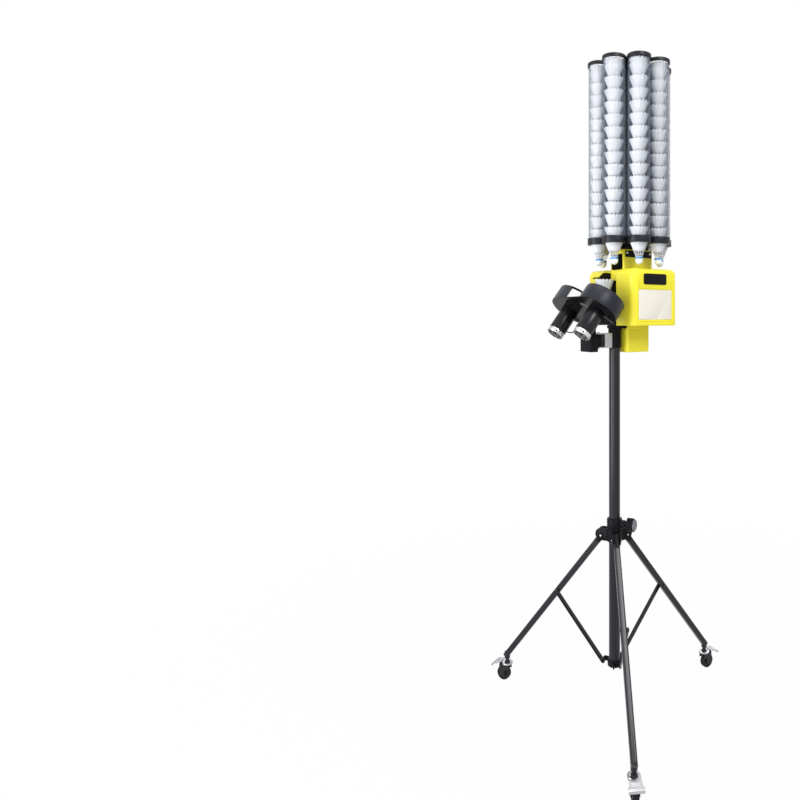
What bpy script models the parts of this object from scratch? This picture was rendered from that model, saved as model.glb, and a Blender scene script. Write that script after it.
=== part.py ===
"""Badminton serving machine: a wheeled folding tripod stand that carries a yellow housing,
a tilting two-wheel launcher with a feed gripper, and a turning magazine of eight clear
shuttle tubes. Metres, +Z up, +X is the shooting direction, +Y the side with the panel.
The origin is the centre of the footprint on the floor.
"""
import math

import bmesh
import bpy
from mathutils import Matrix, Vector

# Clearances
GAP = 0.0003
BITE = 0.0005
MERGE = 0.00002

# Casters
CASTER_DIAMETER = 0.050
CASTER_WIDTH = 0.020
CASTER_TRAIL = 0.0135
CASTER_SIDES = 16
CASTER_AXLE_RADIUS = 0.003
FORK_WALL = 0.0025
FORK_CROWN_GAP = 0.004
FORK_CROWN = 0.004
SWIVEL_RING_HEIGHT = 0.007
SWIVEL_RING_RADIUS = 0.0115
STEM_RADIUS = 0.006
STEM_SHOWN = 0.014
PEDAL_REACH = 0.050
PEDAL_WIDTH = 0.026
PEDAL_THICKNESS = 0.0016
PEDAL_START = 0.0135
PEDAL_BARREL_RADIUS = 0.0025
PEDAL_HINGE_X = 0.0165
PEDAL_LUG = 0.002
PEDAL_LUG_RADIUS = 0.003
PEDAL_BARREL_HALF = 0.0102
PEDAL_LIP = 0.006

# Tripod legs and braces
LEG_AZIMUTHS = (60.0, -60.0, 180.0)
LEG_SPREAD = 37.9
LEG_LENGTH = 0.618
LEG_SIZE = 0.020
LEG_WALL = 0.0016
LEG_CORNER = 0.004
FERRULE_RADIUS = 0.012
FERRULE_HEIGHT = 0.030
HINGE_RADIUS = 0.045
HINGE_PIN_RADIUS = 0.004
HINGE_HEAD_RADIUS = 0.007
LEG_HEAD = 0.010
LEG_TAIL = 0.008
STEM_INSERT = 0.005
BRACE_ALONG_LEG = 0.276
BRACE_WIDTH = 0.014
BRACE_THICKNESS = 0.006
BRACE_WALL = 0.0018
BRACE_RIVET_RADIUS = 0.005
HUB_PIVOT_RADIUS = 0.037
HUB_PIVOT_HEIGHT = 0.156

# Mast and its fittings
MAST_DIAMETER = 0.038
MAST_WALL = 0.002
MAST_BOTTOM = 0.1485
MAST_LENGTH = 1.1365
SLIDE_CLEARANCE = 0.0004
HUB_HEIGHT = 0.016
HUB_WALL = 0.0045
HUB_PIN_RADIUS = 0.003
RIVET_HEAD = 0.002
COLLAR_WALL = 0.0065
COLLAR_RING_HEIGHT = 0.032
COLLAR_BODY_HEIGHT = 0.045
EAR_RADIUS = 0.018
EAR_THICKNESS = 0.0035
EAR_DROP = 0.002
KNOB_AZIMUTH = 120.0
KNOB_RADIUS = 0.023
KNOB_LENGTH = 0.030
KNOB_LOBES = 6
KNOB_LUG = 0.012
KNOB_LUG_HALF = 0.009
KNOB_NECK = 0.008
KNOB_SCREW_RADIUS = 0.004

# Mast sleeve and housing, heights measured from the top of the mast
SLEEVE_RADIUS = 0.0215
SLEEVE_BELOW = 0.064
SLEEVE_CAP = 0.004
FLANGE_HEIGHT = 0.008
FLANGE_FRONT = 0.007
HOUSING_FRONT = 0.022
HOUSING_BACK = -0.169
HOUSING_HALF_WIDTH = 0.123
HOUSING_HEIGHT = 0.189
CHANNEL_HALF_WIDTH = 0.038
FRONT_EDGE_RADIUS = 0.022
BACK_EDGE_RADIUS = 0.012
TOP_EDGE_RADIUS = 0.012
ARCH_RADIUS = 0.061
ARCH_BELOW_TOP = 0.062
ARCH_DEPTH = 0.075
SLOT_LENGTH = 0.037
SLOT_HEIGHT = 0.004
SLOT_DEPTH = 0.010
SLOT_BELOW_TOP = 0.026
PANEL_WIDTH = 0.143
PANEL_HEIGHT = 0.099
PANEL_FRONT = -0.005
PANEL_FLOOR = 0.020
PANEL_RECESS = 0.002
PANEL_LIP = 0.003
BADGE_WIDTH = 0.097
BADGE_HEIGHT = 0.035
BADGE_FRONT = -0.026
BADGE_FLOOR = 0.136
BADGE_THICKNESS = 0.0015
LINER_WALL = 0.0012
LINER_FLOOR = 0.003
LINER_FRONT = 0.002
BATTERY_FRONT = -0.026
BATTERY_BACK = -0.123
BATTERY_HEIGHT = 0.085
SWITCH_HEIGHT = 0.060
SWITCH_BEZEL = 0.002
SWITCH_WELL = 0.006
ROCKER_RADIUS = 0.003
SOCKET_BELOW = 0.032

# Neck and turntable
MAGAZINE_X = -0.067
NECK_FRONT = -0.010
NECK_BACK = -0.137
NECK_TUCK = 0.036
NECK_ABOVE = 0.062
NECK_WALL = 0.003
WINDOW_HEIGHT = 0.054
WINDOW_HALF_WIDTH = 0.031
STRIP_HEIGHT = 0.022
STRIP_THICKNESS = 0.0015
TURNTABLE_RADIUS = 0.065
TURNTABLE_HEIGHT = 0.015
TURNTABLE_CLEARANCE = 0.0005
GEARMOTOR_RADIUS = 0.0185
GEARMOTOR_LENGTH = 0.070
SHAFT_RADIUS = 0.004

# Magazine
TUBE_COUNT = 8
TUBE_CIRCLE = 0.1085
TUBE_RADIUS = 0.0375
TUBE_WALL = 0.002
TUBE_LENGTH = 0.600
TUBE_SIDES = 16
LOBE_WALL = 0.003
RING_HEIGHT = 0.023
RING_SEAT = 0.015
CAP_HEIGHT = 0.013
CAP_SEAT = 0.0085
DISC_RADIUS = 0.098
COLUMN_RADIUS = 0.025
SPIGOT_RADIUS = 0.010
SPIGOT_PROUD = 0.002

# Shuttlecocks
SHUTTLE_LENGTH = 0.085
SKIRT_RADIUS = 0.033
CORK_RADIUS = 0.013
CORK_LENGTH = 0.025
WAIST_RADIUS = 0.0105
STACK_PITCH = 0.0408
STACK_COUNT = 15
HANG_ABOVE = 0.0055
FEATHER_EDGE = 0.0004
STACK_RECESS = 0.030
SHUTTLE_SIDES = 8

# Pan and tilt head, x from the mast axis and heights from the top of the mast
PAN_X = 0.070
PAN_PIN_RADIUS = 0.005
PAN_KNUCKLE_RADIUS = 0.011
PAN_BRACKET_BOTTOM = -0.062
PAN_BRACKET_TOP = -0.013
PAN_BRACKET_HALF_WIDTH = 0.020
PAN_PLATE = 0.003
PAN_THROAT = 0.004
PIN_HEAD = 0.003
TILT_X = 0.107
TILT_HEIGHT = 0.018
TILT_PIN_RADIUS = 0.005
TILT_KNUCKLE_RADIUS = 0.012
YOKE_GAP_HALF = 0.020
YOKE_PLATE = 0.004
DRIVE_BOX_FRONT = 0.137
DRIVE_BOX_BACK = 0.089
DRIVE_BOX_HALF_WIDTH = 0.030
DRIVE_BOX_BOTTOM = -0.074
DRIVE_BOX_TOP = -0.037

# Launcher, in a frame with X along the shot and its origin on the tilt pin
ELEVATION = 38.0
LAUNCH_WHEEL_X = 0.045
LAUNCH_WHEEL_Z = 0.050
LAUNCH_WHEEL_RADIUS = 0.065
LAUNCH_WHEEL_WIDTH = 0.044
LAUNCH_WHEEL_SIDES = 26
NIP = 0.023
GUARD_RADIUS = 0.0705
GUARD_WALL = 0.0025
GUARD_HEIGHT = 0.054
GUARD_INNER_EDGE = 0.038
LID_INNER_EDGE = 0.0175
BASE_PLATE = 0.003
LAUNCH_MOTOR_RADIUS = 0.029
LAUNCH_MOTOR_LENGTH = 0.100
LAUNCH_SHAFT_RADIUS = 0.0035
MOTOR_BOSS_RADIUS = 0.009
MOTOR_CAP_LENGTH = 0.015
MOTOR_VENTS = 6
BASE_BACK = 0.050
LEAD_RADIUS = 0.0018
LEAD_SAG = 0.008
LEAD_POINTS = 15
FEED_X = 0.0177
FEED_Z = 0.080
FEED_BARREL_RADIUS = 0.0055
FEED_PIN_RADIUS = 0.0022
FEED_LUG_WIDTH = 0.009
FEED_OFFSET = 0.030
FEED_TIP_BELOW = 0.007
GRIP_WALL = 0.0025
GRIP_HEIGHT = 0.010

# Worked out from the sizes above
FORK_TOP = CASTER_DIAMETER + FORK_CROWN_GAP + FORK_CROWN
RING_TOP = FORK_TOP + SWIVEL_RING_HEIGHT
PEDAL_HINGE_Z = FORK_TOP + PEDAL_BARREL_RADIUS + 0.002
FOOT_HEIGHT = RING_TOP + STEM_SHOWN + FERRULE_HEIGHT / 2
SPREAD = math.radians(LEG_SPREAD)
HINGE_HEIGHT = FOOT_HEIGHT + LEG_LENGTH * math.cos(SPREAD)
FOOT_RADIUS = HINGE_RADIUS + LEG_LENGTH * math.sin(SPREAD)
BRACE_OFFSET = LEG_SIZE / 2 + 2 * GAP + BRACE_THICKNESS / 2
BRACE_TOP_RADIUS = HINGE_RADIUS + BRACE_ALONG_LEG * math.sin(SPREAD)
BRACE_TOP_HEIGHT = HINGE_HEIGHT - BRACE_ALONG_LEG * math.cos(SPREAD)
BRACE_RUN = BRACE_TOP_RADIUS - HUB_PIVOT_RADIUS
BRACE_RISE = BRACE_TOP_HEIGHT - HUB_PIVOT_HEIGHT
BRACE_LENGTH = math.hypot(BRACE_RUN, BRACE_RISE)
BRACE_ANGLE = math.atan2(BRACE_RUN, BRACE_RISE)
REACH = FOOT_RADIUS + PEDAL_REACH
FRONT_REACH = REACH * math.cos(math.radians(60)) + PEDAL_WIDTH / 2 * math.sin(math.radians(60))
MAST_X = (REACH - FRONT_REACH) / 2
MAST_TOP = MAST_BOTTOM + MAST_LENGTH
HOUSING_FLOOR = SLEEVE_CAP + FLANGE_HEIGHT + GAP
HOUSING_TOP = HOUSING_FLOOR + HOUSING_HEIGHT
NECK_TOP = HOUSING_TOP + NECK_ABOVE
TURNTABLE_TOP = NECK_TOP + GAP + TURNTABLE_HEIGHT
RING_FLOOR = TURNTABLE_TOP + TURNTABLE_CLEARANCE
TUBE_FLOOR = RING_FLOOR + RING_HEIGHT - RING_SEAT + GAP
TUBE_TOP = TUBE_FLOOR + TUBE_LENGTH
CAP_FLOOR = TUBE_TOP + GAP - CAP_SEAT
TUBE_STEP = 2 * math.pi / TUBE_COUNT
SEAT_RADIUS = TUBE_RADIUS + 2 * GAP
LAUNCH_WHEEL_Y = LAUNCH_WHEEL_RADIUS + NIP / 2
BASE_TOP = LAUNCH_WHEEL_Z - GUARD_HEIGHT / 2


# Modelling helpers
def clear_scene():
    for obj in list(bpy.data.objects):
        bpy.data.objects.remove(obj, do_unlink=True)


def material(name, color, roughness, metallic=0.0, alpha=1.0):
    """A Principled material in the piece's own colour."""
    mat = bpy.data.materials.new(name)
    mat.use_nodes = True
    shader = mat.node_tree.nodes["Principled BSDF"]
    shader.inputs["Base Color"].default_value = (*color, 1.0)
    shader.inputs["Roughness"].default_value = roughness
    shader.inputs["Metallic"].default_value = metallic
    shader.inputs["Alpha"].default_value = alpha
    mat.diffuse_color = (*color, alpha)
    return mat


def empty(name, parent=None, at=(0, 0, 0), turn=(0, 0, 0)):
    """A guide that carries pieces: a place, or the axis of a joint."""
    guide = bpy.data.objects.new(name, None)
    bpy.context.scene.collection.objects.link(guide)
    guide.empty_display_size = 0.02
    guide.parent = parent
    guide.location = at
    guide.rotation_euler = [math.radians(angle) for angle in turn]
    return guide


def to_object(name, bm):
    """Close a bmesh into an object whose faces point out."""
    bmesh.ops.remove_doubles(bm, verts=bm.verts, dist=MERGE)
    bmesh.ops.recalc_face_normals(bm, faces=bm.faces)
    mesh = bpy.data.meshes.new(name)
    bm.to_mesh(mesh)
    bm.free()
    obj = bpy.data.objects.new(name, mesh)
    bpy.context.scene.collection.objects.link(obj)
    return obj


def moved(obj, at=(0, 0, 0), turn=(0, 0, 0)):
    """Move and turn a shape inside its own object, so its origin stays."""
    turned_by = Matrix.Identity(4)
    for axis, angle in zip("XYZ", turn):
        turned_by = Matrix.Rotation(math.radians(angle), 4, axis) @ turned_by
    obj.data.transform(Matrix.Translation(Vector(at)) @ turned_by)
    return obj


def box(x, y, z, bevel=0.0, edges="all", steps=2):
    """A block between two corners, with its edges along one axis, or all of them, rounded."""
    bm = bmesh.new()
    bmesh.ops.create_cube(bm, size=1.0)
    low = Vector((x[0], y[0], z[0]))
    high = Vector((x[1], y[1], z[1]))
    for vert in bm.verts:
        vert.co = Vector((low[i] if vert.co[i] < 0 else high[i] for i in range(3)))
    if bevel:
        chosen = [edge for edge in bm.edges if edges == "all" or runs_along(edge, edges)]
        bmesh.ops.bevel(bm, geom=chosen, offset=bevel, segments=steps, profile=0.5, affect="EDGES")
    return to_object("block", bm)


def runs_along(edge, axis):
    direction = (edge.verts[1].co - edge.verts[0].co).normalized()
    return abs(direction["XYZ".index(axis)]) > 0.99


def turned(profile, sides, loop=False):
    """A solid turned about Z from (radius, height) points; a loop profile makes a ring."""
    bm = bmesh.new()
    line = [bm.verts.new((radius, 0, height)) for radius, height in profile]
    edges = [bm.edges.new(pair) for pair in zip(line, line[1:])]
    if loop:
        edges.append(bm.edges.new((line[-1], line[0])))
    bmesh.ops.spin(bm, geom=line + edges, cent=(0, 0, 0), axis=(0, 0, 1),
                   angle=2 * math.pi, steps=sides, use_merge=True)
    return to_object("turning", bm)


def rod(radius, start, end, sides=12):
    """A plain round bar along Z."""
    return turned([(0, start), (radius, start), (radius, end), (0, end)], sides)


def ring(outer, inner, start, end, sides):
    """A plain tube along Z, open at both ends."""
    corners = [(outer, start), (outer, end), (inner, end), (inner, start)]
    return turned(corners, sides, loop=True)


def plate(outline, start, end):
    """A flat outline in XY pulled up from one height to another."""
    bm = bmesh.new()
    face = bm.faces.new([bm.verts.new((x, y, start)) for x, y in outline])
    pulled = bmesh.ops.extrude_face_region(bm, geom=[face])
    top = [item for item in pulled["geom"] if isinstance(item, bmesh.types.BMVert)]
    bmesh.ops.translate(bm, verts=top, vec=(0, 0, end - start))
    return to_object("plate", bm)


def arc(centre, radius, first, last, steps):
    """Points on an arc, with the angles in degrees."""
    points = []
    for step in range(steps + 1):
        angle = math.radians(first + (last - first) * step / steps)
        points.append((centre[0] + radius * math.cos(angle), centre[1] + radius * math.sin(angle)))
    return points


def rounded(width, height, radius, steps=2):
    """The outline of a rectangle with round corners, about the origin."""
    x = width / 2 - radius
    y = height / 2 - radius
    outline = arc((x, y), radius, 0, 90, steps)
    outline += arc((-x, y), radius, 90, 180, steps)
    outline += arc((-x, -y), radius, 180, 270, steps)
    return outline + arc((x, -y), radius, 270, 360, steps)


def boolean(body, tool, operation):
    """Apply an exact Boolean and throw the tool away."""
    modifier = body.modifiers.new("boolean", "BOOLEAN")
    modifier.operation = operation
    modifier.object = tool
    bpy.context.view_layer.update()
    depsgraph = bpy.context.evaluated_depsgraph_get()
    mesh = bpy.data.meshes.new_from_object(body.evaluated_get(depsgraph))
    body.modifiers.clear()
    body.data = mesh
    bpy.data.objects.remove(tool, do_unlink=True)
    return body


def add(body, *tools):
    for tool in tools:
        boolean(body, tool, "UNION")
    return body


def cut(body, *tools):
    for tool in tools:
        boolean(body, tool, "DIFFERENCE")
    return body


def finish(obj, name, mat, parent, smooth=30):
    """Name a piece, give it its material and hang it on its guide."""
    obj.name = name
    obj.data.name = name
    obj.data.materials.clear()
    obj.data.materials.append(mat)
    obj.data.shade_smooth()
    obj.data.set_sharp_from_angle(angle=math.radians(smooth))
    obj.parent = parent
    return obj


def mast_and_hub(machine, steel, black):
    """The mast tube, and the hub that caps its foot and carries the braces."""
    radius = MAST_DIAMETER / 2
    mast = ring(radius, radius - MAST_WALL, MAST_BOTTOM, MAST_TOP, 24)
    finish(mast, "mast", steel, machine)
    low = HUB_PIVOT_HEIGHT - HUB_HEIGHT / 2
    high = HUB_PIVOT_HEIGHT + HUB_HEIGHT / 2
    outer = radius + GAP + HUB_WALL
    floor = MAST_BOTTOM - GAP
    cup = [(0, low - HUB_WALL), (outer, low - HUB_WALL), (outer, high), (radius + GAP, high),
           (radius + GAP, floor), (0, floor)]
    hub = turned(cup, 20)
    for azimuth in LEG_AZIMUTHS:
        ear_far = BRACE_OFFSET - BRACE_THICKNESS / 2 - GAP
        ear = plate(arc((HUB_PIVOT_RADIUS, 0), HUB_HEIGHT / 2, -90, 90, 6)
                    + [(radius + 2 * GAP, HUB_HEIGHT / 2), (radius + 2 * GAP, -HUB_HEIGHT / 2)],
                    -ear_far, -ear_far + EAR_THICKNESS)
        moved(ear, (0, 0, HUB_PIVOT_HEIGHT), (90, 0, 0))
        pin_end = BRACE_OFFSET + BRACE_THICKNESS / 2 + GAP
        pin = turned([(0, ear_far - EAR_THICKNESS / 2), (HUB_PIN_RADIUS, ear_far - EAR_THICKNESS / 2),
                      (HUB_PIN_RADIUS, pin_end), (BRACE_RIVET_RADIUS, pin_end),
                      (BRACE_RIVET_RADIUS * 0.8, pin_end + RIVET_HEAD), (0, pin_end + RIVET_HEAD)], 8)
        moved(pin, (HUB_PIVOT_RADIUS, 0, HUB_PIVOT_HEIGHT), (-90, 0, 0))
        for tool in (ear, pin):
            moved(tool, turn=(0, 0, azimuth))
            add(hub, tool)
    finish(hub, "brace_hub", black, machine)


def collar_and_knob(machine, black):
    """The clamp that slides on the mast, its three clevises, and its star knob."""
    bore = MAST_DIAMETER / 2 + SLIDE_CLEARANCE
    outer = bore + COLLAR_WALL
    low = -EAR_RADIUS + EAR_DROP
    split = low + COLLAR_BODY_HEIGHT
    high = split + COLLAR_RING_HEIGHT
    profile = [(outer, low), (outer, split - 0.002), (outer - 0.0015, split), (outer, split + 0.002),
               (outer, high), (bore, high), (bore, low)]
    collar = turned(profile, 20, loop=True)
    near = LEG_SIZE / 2 + GAP
    for azimuth in LEG_AZIMUTHS:
        shape = arc((HINGE_RADIUS, 0), EAR_RADIUS, -90, 90, 6) + [(bore + GAP, EAR_RADIUS), (bore + GAP, -EAR_RADIUS)]
        tools = []
        for side in (-1, 1):
            ear = plate(shape, side * near, side * (near + EAR_THICKNESS))
            tools.append(moved(ear, turn=(90, 0, 0)))
        head = near + EAR_THICKNESS + RIVET_HEAD
        seat = head - RIVET_HEAD - BITE
        pin = turned([(0, -head), (HINGE_HEAD_RADIUS * 0.8, -head), (HINGE_HEAD_RADIUS, -seat),
                      (HINGE_PIN_RADIUS, -seat), (HINGE_PIN_RADIUS, seat),
                      (HINGE_HEAD_RADIUS, seat), (HINGE_HEAD_RADIUS * 0.8, head), (0, head)], 8)
        tools.append(moved(pin, (HINGE_RADIUS, 0, 0), (90, 0, 0)))
        for tool in tools:
            moved(tool, turn=(0, 0, azimuth))
            add(collar, tool)
    lug_end = outer + KNOB_LUG
    centre = split + COLLAR_RING_HEIGHT / 2
    lug = box((bore + GAP, lug_end), (-KNOB_LUG_HALF, KNOB_LUG_HALF), (centre - 0.011, centre + 0.011), 0.003, "X")
    hole = moved(rod(KNOB_SCREW_RADIUS + GAP, 0, 2 * lug_end), turn=(0, 90, 0))
    moved(hole, (0, 0, centre))
    saw = box((bore - 0.002, 2 * lug_end), (-0.001, 0.001), (split + 0.004, high + 0.001))
    moved(saw, (0, 0, 0), (0, 0, 24))
    for tool in (lug, hole, saw):
        moved(tool, turn=(0, 0, KNOB_AZIMUTH))
    add(collar, lug)
    cut(collar, hole, saw)
    collar.location = (0, 0, HINGE_HEIGHT)
    finish(collar, "collar", black, machine)

    axis = empty("knob_axis", machine, (0, 0, HINGE_HEIGHT + centre), (0, 0, KNOB_AZIMUTH))
    neck_end = lug_end + GAP + KNOB_NECK
    spindle = turned([(0, bore), (KNOB_SCREW_RADIUS, bore), (KNOB_SCREW_RADIUS, lug_end + GAP),
                      (0.010, lug_end + GAP), (0.010, neck_end), (KNOB_RADIUS - 0.006, neck_end),
                      (KNOB_RADIUS - 0.003, neck_end + 0.003), (KNOB_RADIUS - 0.003, neck_end + KNOB_LENGTH - 0.004),
                      (KNOB_RADIUS - 0.008, neck_end + KNOB_LENGTH), (0, neck_end + KNOB_LENGTH)], 12)
    for lobe in range(KNOB_LOBES):
        angle = 2 * math.pi * lobe / KNOB_LOBES
        finger = turned([(0, 0), (0.0062, 0), (0.0062, KNOB_LENGTH - 0.006), (0.0045, KNOB_LENGTH - 0.003),
                         (0, KNOB_LENGTH - 0.003)], 8)
        reach = KNOB_RADIUS - 0.0062
        moved(finger, (reach * math.cos(angle), reach * math.sin(angle), neck_end + 0.001))
        add(spindle, finger)
    moved(spindle, turn=(0, 90, 0))
    finish(spindle, "clamp_knob", black, axis)


def leg(index, azimuth, machine, steel, black, rubber, chrome):
    """One leg with its ferrule, its brace and its caster."""
    spoke = empty(f"spoke_{index}", machine, turn=(0, 0, azimuth))
    hinge = empty(f"leg_hinge_{index}", spoke, (HINGE_RADIUS, 0, HINGE_HEIGHT), (0, -LEG_SPREAD, 0))
    outer = plate(rounded(LEG_SIZE, LEG_SIZE, LEG_CORNER), -LEG_LENGTH - LEG_TAIL, LEG_HEAD)
    inner_size = LEG_SIZE - 2 * LEG_WALL
    bore = plate(rounded(inner_size, inner_size, LEG_CORNER - LEG_WALL, 1), -LEG_LENGTH - 1, 1)
    cut(outer, bore)
    ferrule = rod(FERRULE_RADIUS, -FERRULE_HEIGHT / 2, FERRULE_HEIGHT / 2, 14)
    socket = rod(STEM_RADIUS + GAP, -FERRULE_HEIGHT, STEM_INSERT + GAP)
    for tool in (ferrule, socket):
        moved(tool, turn=(0, LEG_SPREAD, 0))
        moved(tool, (0, 0, -LEG_LENGTH))
    add(outer, ferrule)
    cut(outer, socket)
    cut(outer, moved(rod(HINGE_PIN_RADIUS + 2 * GAP, -LEG_SIZE, LEG_SIZE, 8), turn=(90, 0, 0)))
    nut = turned([(0, 0), (BRACE_RIVET_RADIUS, 0), (BRACE_RIVET_RADIUS * 0.8, RIVET_HEAD + LEG_WALL / 2),
                  (0, RIVET_HEAD + LEG_WALL / 2)], 10)
    moved(nut, (0, -LEG_SIZE / 2 + LEG_WALL / 2, -BRACE_ALONG_LEG), (90, 0, 0))
    add(outer, nut)
    finish(outer, f"leg_{index}", steel, hinge)

    pivot = empty(f"brace_pivot_{index}", spoke, (HUB_PIVOT_RADIUS, BRACE_OFFSET, HUB_PIVOT_HEIGHT),
                  (0, math.degrees(BRACE_ANGLE), 0))
    half = BRACE_WIDTH / 2
    shape = arc((0, BRACE_LENGTH), half, 0, 180, 6) + arc((0, 0), half, 180, 360, 6)
    bar = plate(shape, -BRACE_THICKNESS / 2, BRACE_THICKNESS / 2)
    channel = box((-half + BRACE_WALL, half - BRACE_WALL), (half * 1.6, BRACE_LENGTH - half * 1.6),
                  (-BRACE_THICKNESS, BRACE_THICKNESS / 2 - BRACE_WALL))
    cut(bar, channel)
    cut(bar, rod(HUB_PIN_RADIUS + 2 * GAP, -BRACE_THICKNESS, BRACE_THICKNESS, 8))
    rivet = turned([(0, 0), (BRACE_RIVET_RADIUS, 0), (BRACE_RIVET_RADIUS, BRACE_THICKNESS / 2),
                    (BRACE_RIVET_RADIUS * 0.8, BRACE_THICKNESS / 2 + RIVET_HEAD), (0, BRACE_THICKNESS / 2 + RIVET_HEAD)], 8)
    moved(rivet, turn=(180, 0, 0))
    add(bar, moved(rivet, (0, BRACE_LENGTH, 0)))
    moved(bar, turn=(90, 0, 0))
    finish(bar, f"brace_{index}", steel, pivot)
    caster(index, spoke, black, rubber, chrome)


def caster(index, spoke, black, rubber, chrome):
    """A swivel fork on its stem, the wheel on its axle, and the brake pedal."""
    swivel = empty(f"caster_swivel_{index}", spoke, (FOOT_RADIUS, 0, 0))
    wheel_radius = CASTER_DIAMETER / 2
    inner = CASTER_WIDTH / 2 + 0.001
    outer = inner + FORK_WALL
    crown = CASTER_DIAMETER + FORK_CROWN_GAP
    cheek = [(-0.010, crown + FORK_CROWN), (-0.010, crown - 0.004)]
    cheek += arc((CASTER_TRAIL, wheel_radius), 0.009, 190, 350, 6)
    cheek += [(0.0235, crown - 0.008), (0.0235, crown + FORK_CROWN)]
    fork = plate(cheek, -outer, outer)
    moved(fork, turn=(90, 0, 0))
    cut(fork, box((-0.05, 0.05), (-inner, inner), (-0.01, crown)))
    post = turned([(0, crown + FORK_CROWN / 2), (SWIVEL_RING_RADIUS, crown + FORK_CROWN / 2),
                   (SWIVEL_RING_RADIUS, RING_TOP - 0.0015), (SWIVEL_RING_RADIUS - 0.0015, RING_TOP),
                   (STEM_RADIUS, RING_TOP), (STEM_RADIUS, FOOT_HEIGHT + STEM_INSERT), (0, FOOT_HEIGHT + STEM_INSERT)], 16)
    axle = moved(rod(CASTER_AXLE_RADIUS, -outer - 0.0015, outer + 0.0015, 12), turn=(90, 0, 0))
    moved(axle, (CASTER_TRAIL, 0, wheel_radius))
    add(fork, post, axle)
    for side in (-1, 1):
        near = side * PEDAL_BARREL_HALF
        lug = plate(arc((PEDAL_HINGE_X, PEDAL_HINGE_Z), PEDAL_LUG_RADIUS, 0, 180, 4)
                    + [(PEDAL_HINGE_X - PEDAL_LUG_RADIUS, crown + 0.001),
                       (PEDAL_HINGE_X + PEDAL_LUG_RADIUS, crown + 0.001)],
                    near + side * GAP, near + side * (GAP + PEDAL_LUG))
        add(fork, moved(lug, turn=(90, 0, 0)))
    finish(fork, f"caster_fork_{index}", black, swivel)

    spin = empty(f"caster_axle_{index}", swivel, (CASTER_TRAIL, 0, wheel_radius))
    half = CASTER_WIDTH / 2
    rim = wheel_radius / math.cos(math.pi / CASTER_SIDES)
    dish = wheel_radius * 0.7
    wheel = turned([(CASTER_AXLE_RADIUS + GAP, -half), (dish, -half + 0.002), (dish, -half), (rim - 0.002, -half),
                    (rim, -half + 0.002), (rim, half - 0.002), (rim - 0.002, half), (dish, half),
                    (dish, half - 0.002), (CASTER_AXLE_RADIUS + GAP, half)], CASTER_SIDES, loop=True)
    moved(wheel, turn=(0, 0, 180 / CASTER_SIDES))
    moved(wheel, turn=(90, 0, 0))
    finish(wheel, f"caster_wheel_{index}", rubber, spin)

    press = empty(f"pedal_axis_{index}", swivel, (PEDAL_HINGE_X, 0, PEDAL_HINGE_Z))
    plate_low = PEDAL_LUG_RADIUS + GAP
    start = PEDAL_START - PEDAL_HINGE_X
    end = PEDAL_REACH - PEDAL_HINGE_X
    outline = rounded(end - start, PEDAL_WIDTH, 0.006)
    pedal = plate([(x + (start + end) / 2, y) for x, y in outline], plate_low, plate_low + PEDAL_THICKNESS)
    barrel = moved(rod(PEDAL_BARREL_RADIUS, -PEDAL_BARREL_HALF, PEDAL_BARREL_HALF, 10), turn=(90, 0, 0))
    web = box((-0.0012, 0.0012), (-0.008, 0.008), (0, plate_low + PEDAL_THICKNESS / 2))
    lip = box((end - 0.0035, end - 0.0019), (-0.007, 0.007), (plate_low - PEDAL_LIP, plate_low + PEDAL_THICKNESS / 2))
    slot = plate([(x + (start + end) / 2 + 0.005, y) for x, y in rounded(0.018, 0.007, 0.003)],
                 plate_low - 0.001, plate_low + 0.004)
    add(pedal, barrel, web, lip)
    cut(pedal, slot)
    finish(pedal, f"brake_pedal_{index}", chrome, press)


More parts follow.
